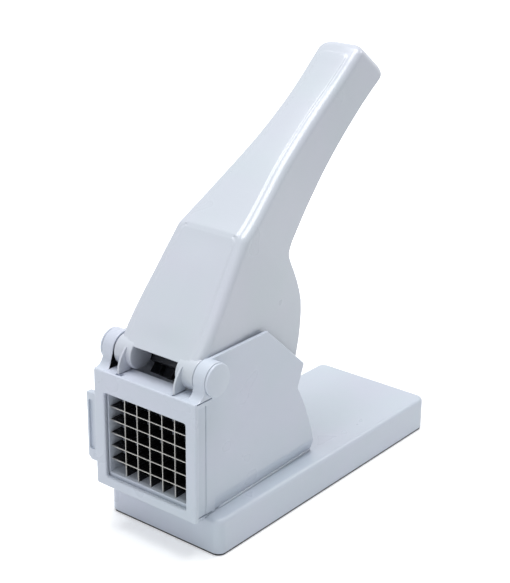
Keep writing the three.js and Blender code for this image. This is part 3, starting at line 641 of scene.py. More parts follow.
class Shader:
    """A new material's nodes, with short calls that add and join them."""

    NOISE_MIDDLE: Pair = (0.3, 0.7)

    def __init__(self, name: str) -> None:
        """Starts a material whose patterns read the object's own coordinates.

        Args:
            name: Name of the material.
        """
        self.material = bpy.data.materials.new(name)
        self.material.use_nodes = True
        self.tree = self.material.node_tree
        self.surface = self.tree.nodes["Principled BSDF"]
        self.place = self.node("ShaderNodeTexCoord").outputs["Object"]

    def node(self, kind: str, **settings: Any) -> bpy.types.Node:
        """Adds a node.

        Args:
            kind: Its type.
            settings: Values of its properties, by name.

        Returns:
            The node.
        """
        made = self.tree.nodes.new(kind)
        for key, value in settings.items():
            setattr(made, key, value)
        return made

    def join(self, start: bpy.types.NodeSocket, end: bpy.types.NodeSocket) -> None:
        """Joins an output to an input."""
        self.tree.links.new(start, end)

    def noise(self, size: float, detail: float = 2.0, stretch: Triple = (1, 1, 1)) -> bpy.types.NodeSocket:
        """Soft noise with patches of about one size.

        Args:
            size: Size of a patch in millimetres.
            detail: Number of finer layers.
            stretch: How many times longer the patches are along each axis.

        Returns:
            The noise's value output.
        """
        mapping = self.node("ShaderNodeMapping")
        mapping.inputs["Scale"].default_value = [1 / (size * MM * long) for long in stretch]
        self.join(self.place, mapping.inputs["Vector"])
        noise = self.node("ShaderNodeTexNoise")
        noise.inputs["Scale"].default_value = 1
        noise.inputs["Detail"].default_value = detail
        self.join(mapping.outputs["Vector"], noise.inputs["Vector"])
        return noise.outputs["Fac"]

    def spread(
        self, value: bpy.types.NodeSocket, start: Pair, end: Pair, soft: bool = False
    ) -> bpy.types.NodeSocket:
        """Maps one range of a value to another, and holds it at both ends.

        Args:
            value: The value.
            start: The range that is read.
            end: The range that comes out.
            soft: Whether it eases in and out.

        Returns:
            The new value.
        """
        steps = self.node("ShaderNodeMapRange", interpolation_type="SMOOTHSTEP" if soft else "LINEAR")
        for name, number in zip(("From Min", "From Max", "To Min", "To Max"), (*start, *end)):
            steps.inputs[name].default_value = number
        self.join(value, steps.inputs["Value"])
        return steps.outputs["Result"]

    def ranged(self, value: bpy.types.NodeSocket, low: float, high: float) -> bpy.types.NodeSocket:
        """Spreads the middle of a noise between two values."""
        return self.spread(value, self.NOISE_MIDDLE, (low, high))

    def mixed(
        self,
        share: bpy.types.NodeSocket,
        first: Colour | bpy.types.NodeSocket,
        second: Colour | bpy.types.NodeSocket,
    ) -> bpy.types.NodeSocket:
        """Mixes two colours, each of them fixed or the output of a node.

        Args:
            share: Share of the second colour.
            first: Colour at a share of 0.
            second: Colour at a share of 1.

        Returns:
            The mixed colour.
        """
        mix = self.node("ShaderNodeMix", data_type="RGBA")
        factor, *colours = [socket for socket in mix.inputs if socket.enabled]
        self.join(share, factor)
        for colour, socket in zip((first, second), colours):
            if isinstance(colour, bpy.types.NodeSocket):
                self.join(colour, socket)
            else:
                socket.default_value = (*colour, 1)
        return next(socket for socket in mix.outputs if socket.enabled)

    def relief(self, layers: list[tuple[bpy.types.NodeSocket, float]]) -> None:
        """Raises the surface by several height patterns.

        Args:
            layers: Each pattern's height and its depth in millimetres.
        """
        normal = None
        for height, depth in layers:
            bump = self.node("ShaderNodeBump")
            bump.inputs["Strength"].default_value = 1
            bump.inputs["Distance"].default_value = depth * MM
            self.join(height, bump.inputs["Height"])
            if normal is not None:
                self.join(normal, bump.inputs["Normal"])
            normal = bump.outputs["Normal"]
        self.join(normal, self.surface.inputs["Normal"])


@dataclass(frozen=True)
class PlasticFinish:
    """Moulded plastic: two close tints that drift over a surface, uneven gloss and a fine grain."""

    name: str
    lilac: Colour
    blue: Colour
    smooth: float = 0.27
    rough: float = 0.33
    drift: float = 46.0
    handling: float = 24.0
    grain: float = 0.45
    grain_depth: float = 0.002
    wave: float = 30.0
    wave_depth: float = 0.03
    drift_detail: float = 2.5
    handling_detail: float = 1.5
    refraction: float = 1.49
    coat: float = 0.15
    coat_rough: float = 0.12

    def material(self) -> bpy.types.Material:
        """Makes the finish.

        Returns:
            The material.
        """
        shader = Shader(self.name)
        tint = shader.ranged(shader.noise(self.drift, self.drift_detail), 0, 1)
        shader.join(shader.mixed(tint, self.lilac, self.blue), shader.surface.inputs["Base Color"])
        gloss = shader.ranged(shader.noise(self.handling, self.handling_detail), self.smooth, self.rough)
        shader.join(gloss, shader.surface.inputs["Roughness"])
        shader.relief([
            (shader.noise(self.wave, 0), self.wave_depth),
            (shader.noise(self.grain, 1), self.grain_depth),
        ])
        shader.surface.inputs["IOR"].default_value = self.refraction
        shader.surface.inputs["Coat Weight"].default_value = self.coat
        shader.surface.inputs["Coat Roughness"].default_value = self.coat_rough
        return shader.material


@dataclass(frozen=True)
class SteelFinish:
    """Brushed or ground steel: streaks along one axis in the tint, the gloss and the surface."""

    name: str
    dark: Colour
    bright: Colour
    streak: Triple
    smooth: float = 0.22
    rough: float = 0.42
    width: float = 0.35
    detail: float = 3.0
    depth: float = 0.003

    def material(self) -> bpy.types.Material:
        """Makes the finish.

        Returns:
            The material.
        """
        shader = Shader(self.name)
        streaks = shader.noise(self.width, self.detail, self.streak)
        shader.join(
            shader.mixed(shader.ranged(streaks, 0, 1), self.dark, self.bright),
            shader.surface.inputs["Base Color"],
        )
        shader.join(shader.ranged(streaks, self.smooth, self.rough), shader.surface.inputs["Roughness"])
        shader.relief([(streaks, self.depth)])
        shader.surface.inputs["Metallic"].default_value = 1
        return shader.material


@dataclass(frozen=True)
class BladeFinish:
    """Blade steel: bright ground cutting edge in front, and behind it near-black sides with fine grinding
    streaks, whose dark is painted shade of the deep cells.
    """

    name: str
    side: Colour
    shade_streak: Colour
    ground: Colour
    edge_end: float
    edge_soft: float = 0.5
    streak: Triple = (1, 40, 1)
    width: float = 0.35
    detail: float = 3.0
    smooth: float = 0.2
    rough: float = 0.4
    depth: float = 0.003
    metal: float = 0.85

    def material(self) -> bpy.types.Material:
        """Makes the finish: the ground edge's share falls from 1 to 0 behind edge_end, along Y.

        Returns:
            The material.
        """
        shader = Shader(self.name)
        streaks = shader.noise(self.width, self.detail, self.streak)
        # Near-black sides: painted shade of the cells behind the bright edge; the streaks are grinding
        # marks.
        sides = shader.mixed(shader.ranged(streaks, 0, 1), self.side, self.shade_streak)
        axes = shader.node("ShaderNodeSeparateXYZ")
        shader.join(shader.place, axes.inputs[0])
        start = self.edge_end * MM
        share = shader.spread(axes.outputs["Y"], (start, start + self.edge_soft * MM), (1, 0))
        shader.join(shader.mixed(share, sides, self.ground), shader.surface.inputs["Base Color"])
        shader.join(shader.ranged(streaks, self.smooth, self.rough), shader.surface.inputs["Roughness"])
        shader.relief([(streaks, self.depth)])
        shader.surface.inputs["Metallic"].default_value = self.metal
        return shader.material


@dataclass(frozen=True)
class RubberFinish:
    """Dull dark rubber with a dusty bloom and a pebbled surface."""

    name: str
    dark: Colour
    bloom: Colour
    patch: float = 18.0
    patch_detail: float = 4.0
    pebble: float = 0.8
    pebble_detail: float = 3.0
    smooth: float = 0.7
    rough: float = 0.95
    depth: float = 0.05

    def material(self) -> bpy.types.Material:
        """Makes the finish.

        Returns:
            The material.
        """
        shader = Shader(self.name)
        dusty = shader.ranged(shader.noise(self.patch, self.patch_detail), 0, 1)
        shader.join(shader.mixed(dusty, self.dark, self.bloom), shader.surface.inputs["Base Color"])
        gloss = shader.ranged(shader.noise(self.pebble), self.smooth, self.rough)
        shader.join(gloss, shader.surface.inputs["Roughness"])
        shader.relief([(shader.noise(self.pebble, self.pebble_detail), self.depth)])
        return shader.material


class Workshop:
    """Holds the finishes and hands each piece its finish, its body and the nodes that it stands for."""

    GROUND_WIDTH = 0.5

    def __init__(self) -> None:
        """Mixes every finish once."""
        self.finishes = {
            Slot.PALE: PlasticFinish("pale_plastic", (0.54, 0.572, 0.668), (0.518, 0.58, 0.65)),
            Slot.LEVER: PlasticFinish("lever_plastic", (0.522, 0.546, 0.618), (0.503, 0.552, 0.602)),
            # Near-black plastic on the pusher and the chamber floor: painted shade, standing in for the
            # shade deep inside the chamber.
            Slot.DARK: PlasticFinish(
                "dark_plastic", (0.011, 0.0135, 0.021), (0.008, 0.0105, 0.016), 0.42, 0.6, grain_depth=0.02
            ),
            # The blade sides' near-black colours are painted shade of the deep cells; the ground edge's
            # pale steel is the blade's own.
            Slot.BLADE: BladeFinish(
                "blade_steel", (0.018, 0.019, 0.022), (0.035, 0.036, 0.04), (0.66, 0.65, 0.62),
                NodeBox.of("upright_blade_1").low[1] + self.GROUND_WIDTH,
            ),
            Slot.SCREW: SteelFinish("screw_steel", (0.42, 0.43, 0.44), (0.62, 0.63, 0.65), (6, 6, 1)),
            Slot.PIN: SteelFinish("pin_steel", (0.48, 0.49, 0.50), (0.66, 0.67, 0.68), (30, 1, 1)),
            Slot.PAD: RubberFinish("pad_rubber", (0.018, 0.019, 0.021), (0.035, 0.036, 0.04)),
        }
        self.materials = {slot: finish.material() for slot, finish in self.finishes.items()}

    def _coat(self, item: bpy.types.Object, slot: Slot) -> None:
        """Gives an object one material for all its faces."""
        item.data.materials.clear()
        item.data.materials.append(self.materials[slot])

    def fit(self, item: bpy.types.Object, body: Body, slot: Slot, *nodes: str) -> None:
        """Dresses a new piece and puts it in the place of its frame nodes.

        Args:
            item: The finished object.
            body: Body that it rides on.
            slot: Material slot that it takes its finish from.
            nodes: Frame nodes that it stands for.
        """
        self._coat(item, slot)
        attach(item, body.value)
        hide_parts(*nodes)
        log.info("%s: %d faces, on %s", item.name, len(item.data.polygons), body.value)

    def dress(self, node: str, slot: Slot) -> None:
        """Gives a frame node that stays its procedural finish.

        Args:
            node: The node.
            slot: Material slot that it takes its finish from.
        """
        self._coat(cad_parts[node], slot)
        log.info("%s: kept, in %s", node, slot.value)


@dataclass
class Base:
    """Long rounded base with its pad, bottom cover and screws."""

    corner: float = 6.0
    crown: float = 3.0
    wall: float = 2.5
    rim: float = 0.5
    pad_edge: float = 0.35
    boss_radius: float = 4.0
    boss_inset: Pair = (10.5, 15.0)
    corner_steps: int = 14
    crown_steps: int = 10
    foot_steps: int = 3

    def __post_init__(self) -> None:
        """Reads the base's and the pad's size from the frame."""
        self.box = NodeBox.of("base_shell")
        self.pad = NodeBox.of("non_slip_pad")

    def _ring(self, inset: float, height: float) -> Points:
        """The base's plan outline at one height.

        Args:
            inset: How far it is drawn in.
            height: Its height.

        Returns:
            Its points.
        """
        half = self.box.size[:2] / 2 - inset
        radius = max(self.corner - inset, self.rim)
        plan = box_outline(-half[0], half[0], -half[1], half[1], radius, self.corner_steps)
        return np.column_stack([plan, np.full(len(plan), height)])

    def shell(self) -> Surface:
        """Hollow base: rings from the top's middle over the crown, down the side and up inside.

        Along the crown the ring is drawn in by crown (1 - cos a) at a height crown (1 - sin a) under
        the top, and the inner crown repeats it one wall further in.

        Returns:
            The closed shell.
        """
        top, bottom = self.box.high[2], self.box.low[2]
        inner_crown = self.crown - self.wall
        outer = arc((0, 0), self.crown, 90, 0, self.crown_steps)
        inner = arc((0, 0), inner_crown, 0, 90, self.crown_steps)
        foot = arc((0, 0), self.rim, 0, 90, self.foot_steps)
        steps = [(self.crown - across, top - self.crown + up) for across, up in outer]
        steps += [(self.rim - across, bottom + self.rim - up) for across, up in foot]
        steps += [(self.wall - self.rim + across, bottom + self.rim - up) for across, up in foot[::-1]]
        steps += [(self.crown - across, top - self.wall - inner_crown + up) for across, up in inner]
        rings = [self._ring(inset, height) for inset, height in steps]
        count = len(rings[0])
        ends = [np.arange(count)[::-1], np.arange(count) + (len(rings) - 1) * count]
        quads = grid_quads(len(rings), count, ring_columns=True)
        return Surface(np.concatenate(rings), quads, ends).outward()

    def bosses(self) -> Surface:
        """Posts that take the cover's screws, from the cover up into the base's top wall.

        Returns:
            The four closed posts as one surface.
        """
        half = self.box.size[:2] / 2 - np.array(self.boss_inset)
        bottom = NodeBox.of("bottom_cover").high[2]
        top = self.box.high[2] - self.wall / 2
        return gathered([
            turned_rod((side * half[0], end * half[1]), self.boss_radius, bottom, top, self.rim, Along.Z)
            for side in (-1, 1)
            for end in (-1, 1)
        ])

    def pad_sheet(self) -> Surface:
        """Thin pad under the base, with softened edges.

        Returns:
            The closed sheet.
        """
        low, high = self.pad.low, self.pad.high
        inset = (self.box.size[0] - self.pad.size[0]) / 2
        plan = box_outline(low[0], high[0], low[1], high[1], self.corner - inset, self.corner_steps)
        return slab(plan, low[2], high[2], self.pad_edge, Along.Z)

    def build(self, shop: Workshop) -> None:
        """Makes and fits the base's pieces."""
        shell = Blank("base_moulding", self.shell()).joined(self.bosses()).done()
        shop.fit(shell, Body.STAND, Slot.PALE, "base_shell")
        pad = Blank("pad_sheet", self.pad_sheet()).done()
        shop.fit(pad, Body.STAND, Slot.PAD, "non_slip_pad")
        shop.dress("bottom_cover", Slot.PALE)
        for number in SCREW_NUMBERS:
            shop.dress(f"cover_screw_{number}", Slot.SCREW)
            shop.dress(f"body_screw_{number}", Slot.SCREW)


@dataclass(frozen=True)
class Datum:
    """Places that several sub-assemblies share, read from the frame, and the sizes that they share."""

    front: float
    base_top: float
    hinge_y: float
    hinge_z: float
    pin_bore: float = 3.3
    bore_edge: float = 0.2
    cut_edge: float = 0.1
    overrun: float = 3.0
    stop_offset: float = 22.5

    @classmethod
    def read(cls) -> "Datum":
        """Reads the base's front edge and top and the hinge axis from the frame.

        Returns:
            The places.
        """
        base = NodeBox.of("base_shell")
        cap = NodeBox.of("hinge_cap_right")
        return cls(base.low[1], base.high[2], cap.middle[1], cap.middle[2])


@dataclass
class Housing:
    """One moulding: two side walls, front frame, ledge, hinge lugs, lip and floor."""

    datum: Datum
    wall_half: float = 35.5
    wall_inner: float = 33.0
    wall_edge: float = 0.6
    wall_levels: int = 46
    wall_columns: int = 15
    base_gap: float = 0.2
    slot_rear: float = 0.4
    front_lean: Pair = (6.0, 2.2)
    front_strips: Pair = (2.4, 5.4)
    pillar: Pair = (8.4, 9.1)
    foot_height: float = 35.5
    foot_inset: Pair = (1.5, 4.2)
    foot_span: Pair = (14.0, 106.0)
    foot_power: float = 1.4
    foot_thinner: float = 0.5
    bead_radius: float = 0.95
    bead_out: float = 0.35
    bead_gap: float = 0.06
    bead_rise: float = 0.45
    bead_span: Pair = (12.5, 109.5)
    bead_taper: float = 3.0
    bead_tip: float = 0.02
    bead_steps: int = 60
    bead_sides: int = 16
    foot: float = 111.6
    foot_bulge: float = 2.4
    bulge_steps: int = 12
    notch: Pair = (90.9, 79.2)
    notch_levels: tuple[float, int] = (1.5, 5)
    shoulder: Pair = (97.2, 94.3)
    shoulder_levels: tuple[float, int] = (1.6, 9)
    shoulder_round: float = 1.4
    shoulder_steps: int = 7
    top_rear: float = 58.7
    frame_half: float = 41.5
    frame_front: float = -16.0
    frame_plate: float = 3.2
    frame_bottom: float = 28.6
    frame_corner: float = 1.8
    frame_edge: float = 1.1
    ledge_top: float = 108.0
    ledge_rear: float = -1.5
    ledge_side: float = 3.6
    ledge_edge: float = 0.35
    ledge_steps: int = 3
    ledge_lap: float = 0.8
    slot_top: float = 103.4
    slot_bottom: float = 26.4
    window_half: float = 33.2
    window: Pair = (35.4, 93.3)
    window_corner: float = 1.3
    lug_radius: float = 10.8
    lug_inner: float = 32.4
    lug_edge: float = 0.7
    lug_sink: float = 1.0
    lug_rear: float = 80.0
    lug_steps: int = 56
    flare_reach: float = 17.1
    flare_steps: int = 12
    socket_radius: float = 5.3
    socket_depth: float = 3.3
    stop_slot_half: float = 1.05
    stop_slot_front: float = 17.2
    stop_slot_depth: float = 1.1
    stop_slot_corner: float = 0.3
    lip_left: float = -29.0
    lip_edge: float = 0.3
    lip_underside: tuple[Pair, ...] = (
        (-9.6, 26.4), (-9.6, 25.4), (-7.2, 24.2), (-0.3, 24.2), (-0.3, 26.4),
    )
    riser: Pair = (27.2, 31.8)
    riser_lap: Pair = (-0.3, 0.1)
    riser_corner: float = 0.4
    riser_edge: float = 0.05
    bridge: Pair = (-1.2, 4.0)
    bridge_corner: float = 0.3
    bridge_edge: float = 0.25
    floor_thickness: float = 2.5
    floor_corner: float = 0.4
    floor_edge: float = 0.3
    floor_half: float = 31.5
    floor_rear: float = 104.0
    slit_reach: float = 5.8
    seam: Pair = (-14.8, -0.9)
    seam_width: float = 0.8
    seam_depth: float = 1.6
    seam_drop: float = 0.1
    seam_round: float = 0.24
    seam_steps: int = 2
    catch: tuple[Pair, Pair] = ((-24.4, -19.2), (-14.4, -11.0))
    catch_depth: float = 1.6
    catch_corner: float = 0.3

    @property
    def low(self) -> float:
        """Height of the moulding's foot, a hair above the base."""
        return self.datum.base_top + self.base_gap

    def _rear_edge(self, heights: Points) -> Points:
        """Depth of a wall's rear edge at each height: slope, shoulder, notch and bulging foot.

        At a share s of the foot's way up to the notch it stands out by foot_bulge 4 s (1 - s). The
        shoulder's nose is a quadratic curve with the shoulder as its middle point.

        Args:
            heights: The heights.

        Returns:
            Depths counted from the base's front edge.
        """
        share = np.linspace(0, 1, self.bulge_steps)
        foot = np.array([self.foot, self.datum.base_top])
        notch = np.array(self.notch)
        along = foot + (notch - foot) * share[:, None]
        out = np.array([notch[1] - foot[1], foot[0] - notch[0]])
        out /= np.linalg.norm(out)
        bulged = along + out * (4 * self.foot_bulge * share * (1 - share))[:, None]
        tip = np.array(self.shoulder)
        to_notch = (notch - tip) / np.linalg.norm(notch - tip)
        top = np.array([self.top_rear, self.datum.hinge_z + self.lug_radius])
        to_top = (top - tip) / np.linalg.norm(top - tip)
        bend = np.linspace(0, 1, self.shoulder_steps)[:, None]
        start = tip + to_notch * self.shoulder_round
        end = tip + to_top * self.shoulder_round
        nose = start * (1 - bend) ** 2 + tip * 2 * bend * (1 - bend) + end * bend**2
        edge = np.concatenate([bulged, nose, top[None]])
        return np.interp(heights, edge[:, 1], edge[:, 0])

    def wall(self) -> Surface:
        """Right side wall: a grid of heights by depths on both of its faces, joined round the rim.

        The faces stand at wall_half and wall_inner. Behind the front pillar their lowest part leans
        in, by foot_inset times the share of the foot's height that is left below foot_height, to the
        power foot_power; the inset grows along the wall from its first value to its second. The front
        edge leans back by the second value of front_lean, from the first value under the hinge axis
        up. The rim is drawn in and rounded by the same quarter turn as a slab's.

        Returns:
            The closed wall.
        """
        low, top = self.low, self.datum.hinge_z + self.lug_radius
        heights = [np.linspace(low, top, self.wall_levels), [self.foot_height]]
        for height, (spread, levels) in (
            (self.notch[1], self.notch_levels), (self.shoulder[1], self.shoulder_levels)
        ):
            heights.append(height + np.linspace(-spread, spread, levels))
        heights = np.unique(np.concatenate(heights))
        rear = self._rear_edge(heights)
        under, lean_in = self.front_lean
        front = np.interp(
            heights, [self.datum.hinge_z - under, top], [self.slot_rear, self.slot_rear + lean_in]
        )
        fixed = np.concatenate([[0], self.front_strips, np.array(self.pillar) - self.slot_rear])
        share = np.linspace(0, 1, self.wall_columns + 1)[1:]
        near = front[:, None] + fixed[None]
        far = near[:, -1:] + (rear[:, None] - near[:, -1:]) * share[None]
        depth = np.concatenate([near, far], axis=1)
        rows, columns = depth.shape
        grid = np.stack([depth, np.broadcast_to(heights[:, None], depth.shape)], axis=-1)
        number = np.arange(rows * columns).reshape(rows, columns)
        rim = np.concatenate([number[0], number[1:, -1], number[-1, -2::-1], number[-2:0:-1, 0]])
        outline = grid.reshape(-1, 2)[rim]
        angle = np.linspace(0, np.pi / 2, RIM_STEPS + 1)
        inset = self.wall_edge * (1 - np.sin(angle))
        rise = self.wall_edge * (1 - np.cos(angle))
        rings = drawn_in(outline, np.concatenate([inset, inset[::-1]]))
        face = grid.reshape(-1, 2).copy()
        face[rim] = rings[0]

        def lean(place: Points) -> Points:
            """Share of the full lean at each (depth, height).

            Args:
                place: Points of (depth, height).

            Returns:
                Shares from 0 to 1.
            """
            behind = smooth_step((place[..., 0] - self.pillar[0]) / (self.pillar[1] - self.pillar[0]))
            left = np.clip((self.foot_height - place[..., 1]) / (self.foot_height - low), 0, 1)
            return left**self.foot_power * behind

        def outer_x(place: Points) -> Points:
            """Outer face at each (depth, height)."""
            inset = np.interp(place[..., 0], self.foot_span, self.foot_inset)
            return self.wall_half - inset * lean(place)

        def thickness(place: Points) -> Points:
            """Wall thickness at each (depth, height)."""
            return self.wall_half - self.wall_inner - self.foot_thinner * lean(place)

        def placed(place: Points, x: Points) -> Points:
            """Points in the frame."""
            y = self.datum.front + place[..., 0]
            return np.stack([x, y, place[..., 1]], axis=-1).reshape(-1, 3)

        outside = placed(face, outer_x(face))
        inside = placed(face, outer_x(face) - thickness(face))
        before, after = np.split(rings, 2)
        outer_rim = placed(before, outer_x(before) - rise[:, None])
        inner_rim = placed(after, outer_x(after) - thickness(after) + rise[::-1, None])
        faces = grid_quads(rows, columns)
        rim_faces = grid_quads(len(rings), len(rim), ring_columns=True)
        return gathered([
            Surface(outside, faces),
            Surface(inside, faces[:, ::-1]),
            Surface(np.concatenate([outer_rim, inner_rim]), rim_faces[:, ::-1]),
        ]).outward()

    def lug(self) -> Surface:
        """Right hinge lug: a round head that flares forwards down to the ledge.

        The flare is an arc that touches both the head's circle and the ledge. With f the flare's
        reach, r the head's radius and h the axis height over the ledge, its radius is
        (f^2 + h^2 - r^2) / (2 (r + h)).

        Returns:
            The closed lug.
        """
        y, z, radius = self.datum.hinge_y, self.datum.hinge_z, self.lug_radius
        height = z - self.ledge_top
        flare = (self.flare_reach**2 + height**2 - radius**2) / (2 * (radius + height))
        touch = math.degrees(math.atan2(height - flare, self.flare_reach))
        rear = y + radius * math.cos(math.radians(self.lug_rear))
        outline = np.concatenate([
            arc((y - self.flare_reach, self.ledge_top + flare), flare, -90, touch, self.flare_steps),
            arc((y, z), radius, 180 + touch, -self.lug_rear, self.lug_steps)[1:],
            [(rear, self.ledge_top - self.lug_sink)],
            [(y - self.flare_reach, self.ledge_top - self.lug_sink)],
        ])
        return slab(outline, self.lug_inner, self.frame_half, self.lug_edge, Along.X)

    def ledge(self) -> Surface:
        """Top ledge with its sloped underside at both ends, carried from the frame to the hinge.

        Returns:
            The closed ledge.
        """
        half, wall = self.frame_half, self.wall_half
        outline = rounded([
            (-half, self.ledge_top),
            (-half, self.ledge_top - self.ledge_side),
            (-wall, self.slot_top),
            (wall, self.slot_top),
            (half, self.ledge_top - self.ledge_side),
            (half, self.ledge_top),
        ], self.ledge_edge, self.ledge_steps)
        front = self.datum.front + self.frame_front + self.ledge_lap
        return slab(outline, front, self.datum.front + self.ledge_rear, self.ledge_edge, Along.Y)

    def front_frame(self) -> Surface:
        """Square front frame round the window.

        Returns:
            The closed frame.
        """
        outer = box_outline(
            -self.frame_half, self.frame_half, self.frame_bottom, self.ledge_top, self.frame_corner
        )
        inner = box_outline(-self.window_half, self.window_half, *self.window, self.window_corner)
        front = self.datum.front + self.frame_front
        return ring_frame(outer, inner, front, front + self.frame_plate, self.frame_edge, Along.Y)

    def lower_parts(self) -> list[Surface]:
        """Rib behind the frame's lower edge, lip under the slot, bridge and floor between the walls.

        Returns:
            The four solids.
        """
        front, half, low = self.datum.front, self.wall_half, self.low
        back = front + self.frame_front + self.frame_plate
        riser = slab(
            box_outline(self.lip_left, half, *self.riser, self.riser_corner),
            back + self.riser_lap[0], back + self.riser_lap[1], self.riser_edge, Along.Y,
        )
        lip_outline = np.array(self.lip_underside) + (front, 0)
        lip = slab(lip_outline, self.lip_left, half, self.lip_edge, Along.X)
        bridge = slab(
            box_outline(-half, half, low, self.slot_bottom, self.bridge_corner),
            front + self.bridge[0], front + self.bridge[1], self.bridge_edge, Along.Y,
        )
        floor_top = low + self.floor_thickness
        floor = slab(
            box_outline(-self.floor_half, self.floor_half, low, floor_top, self.floor_corner),
            front, front + self.floor_rear, self.floor_edge, Along.Y,
        )
        return [riser, lip, bridge, floor]

    def bead(self) -> Surface:
        """Fine bead along the foot of the right wall: circles swept along the foot's line.

        Its radius grows with the root of a soft step over bead_taper. The bead is cut flat at
        bead_gap above the base.

        Returns:
            The closed bead.
        """
        start, end = self.bead_span
        depth = np.linspace(start, end, self.bead_steps)
        grown = np.clip(smooth_step((depth - start) / self.bead_taper), self.bead_tip, 1)
        radius = self.bead_radius * np.sqrt(grown)
        turn = np.linspace(0, 2 * np.pi, self.bead_sides, endpoint=False)
        inset = np.interp(depth, self.foot_span, self.foot_inset)
        x = self.wall_half - inset[:, None] + self.bead_out + radius[:, None] * np.cos(turn)
        foot = self.datum.base_top + self.bead_gap
        middle = foot + self.bead_radius * self.bead_rise
        z = np.maximum(middle + radius[:, None] * np.sin(turn), foot)
        y = np.broadcast_to((self.datum.front + depth)[:, None], x.shape)
        points = np.stack([x, y, z], axis=-1).reshape(-1, 3)
        ring = np.arange(self.bead_sides)
        ends = [ring[::-1], ring + (self.bead_steps - 1) * self.bead_sides]
        return Surface(points, grid_quads(*x.shape, ring_columns=True), ends).outward()

    def cuts(self) -> list[Surface]:
        """Slots for the lever's stops, pin bores, cap sockets, the catch and the fine seams.

        Returns:
            The solids to cut away, in order.
        """
        datum = self.datum
        y, z, front, over = datum.hinge_y, datum.hinge_z, datum.front, datum.overrun
        edge, bore_edge = datum.cut_edge, datum.bore_edge
        above = self.ledge_top + over
        stops = []
        for side in (-1, 1):
            middle = side * datum.stop_offset
            outline = box_outline(
                middle - self.stop_slot_half, middle + self.stop_slot_half,
                y - self.stop_slot_front, front + over, self.stop_slot_corner,
            )
            stops.append(slab(outline, self.ledge_top - self.stop_slot_depth, above, edge, Along.Z))
        reach = self.frame_half + over
        bore = turned_rod((y, z), datum.pin_bore, -reach, reach, bore_edge, Along.X)
        socket = turned_rod(
            (y, z), self.socket_radius, self.frame_half - self.socket_depth, reach, bore_edge, Along.X
        )
        seam = slab(
            box_outline(
                front + self.seam[0], front + self.seam[1],
                self.ledge_top - self.seam_width - self.seam_drop, self.ledge_top - self.seam_drop,
                self.seam_round, self.seam_steps,
            ),
            self.frame_half - self.seam_depth, reach, edge, Along.X,
        )
        half = self.seam_width / 2
        slit = slab(
            box_outline(
                front - over, front + self.slit_reach,
                self.slot_bottom - half, self.slot_bottom + half, self.seam_round, self.seam_steps,
            ),
            self.wall_half - self.seam_depth, self.wall_half + over, edge, Along.X,
        )
        (left, right), (near, far) = self.catch
        catch = slab(
            box_outline(left, right, front + near, front + far, self.catch_corner),
            self.ledge_top - self.catch_depth, above, edge, Along.Z,
        )
        return [*stops, bore, *socket.pair(), *seam.pair(), *slit.pair(), catch]

    def build(self, shop: Workshop) -> None:
        """Makes and fits the housing."""
        wall = self.wall()
        blank = Blank("housing_moulding", wall)
        blank.joined(wall.mirrored(), *self.bead().pair())
        blank.joined(*self.lower_parts(), self.front_frame(), self.ledge())
        blank.joined(*self.lug().pair()).cut(*self.cuts())
        shop.fit(blank.done(), Body.STAND, Slot.PALE, "housing")


@dataclass
class Chamber:
    """Raised channel that the potato lies on, clamped by the body screws."""

    plate: float = 2.5
    leg: float = 2.0
    edge: float = 0.6
    end_edge: float = 0.48
    boss_radius: float = 4.0

    def build(self, shop: Workshop) -> None:
        """Makes and fits the chamber floor."""
        box = NodeBox.of("chamber_floor")
        half, low, top = box.high[0], box.low[2], box.high[2]
        section = rounded([
            (-half, low), (-half, top), (half, top), (half, low),
            (half - self.leg, low), (half - self.leg, top - self.plate),
            (self.leg - half, top - self.plate), (self.leg - half, low),
        ], self.edge)
        channel = slab(section, box.low[1], box.high[1], self.end_edge, Along.Y)
        middle = top - self.plate / 2
        screws = [NodeBox.of(f"body_screw_{number}").middle for number in SCREW_NUMBERS]
        bosses = gathered([
            turned_rod((screw[0], screw[1]), self.boss_radius, low, middle, self.edge, Along.Z)
            for screw in screws
        ])
        item = Blank("chamber_channel", channel).joined(bosses).done()
        # The channel takes the near-black finish, painted shade of the chamber's inside.
        shop.fit(item, Body.STAND, Slot.DARK, "chamber_floor")


@dataclass
class HingeCap:
    """Round cap over the end of a hinge pin."""

    spigot_radius: float = 5.0
    spigot_length: float = 3.3
    rim: float = 0.7
    rim_turn: float = 78.0
    rim_steps: int = 6
    dome: float = 0.8
    dome_start: float = 0.94
    dome_steps: int = 8

    def build(self, shop: Workshop) -> None:
        """Makes and fits both caps: a turned disc with a faint dome on a spigot."""
        box = NodeBox.of("hinge_cap_right")
        radius = box.size[1] / 2
        end, face = box.low[0], box.high[0]
        under = end + self.spigot_length
        corner = (radius - self.rim, face - self.dome - self.rim)
        rim = arc(corner, self.rim, 0, self.rim_turn, self.rim_steps)
        flat = np.linspace(self.dome_start, 0, self.dome_steps)[:, None]
        dome = np.hstack([flat * (radius - self.rim), face - self.dome * flat**2])
        profile = np.concatenate([
            [(0, end), (self.spigot_radius, end), (self.spigot_radius, under), (radius, under)],
            rim,
            dome,
        ])
        cap = lathe(profile, (box.middle[1], box.middle[2]), Along.X)
        for side, surface in (("right", cap), ("left", cap.mirrored())):
            item = Blank(f"cap_{side}", surface).done()
            shop.fit(item, Body.STAND, Slot.PALE, f"hinge_cap_{side}")
            shop.dress(f"hinge_pin_{side}", Slot.PIN)


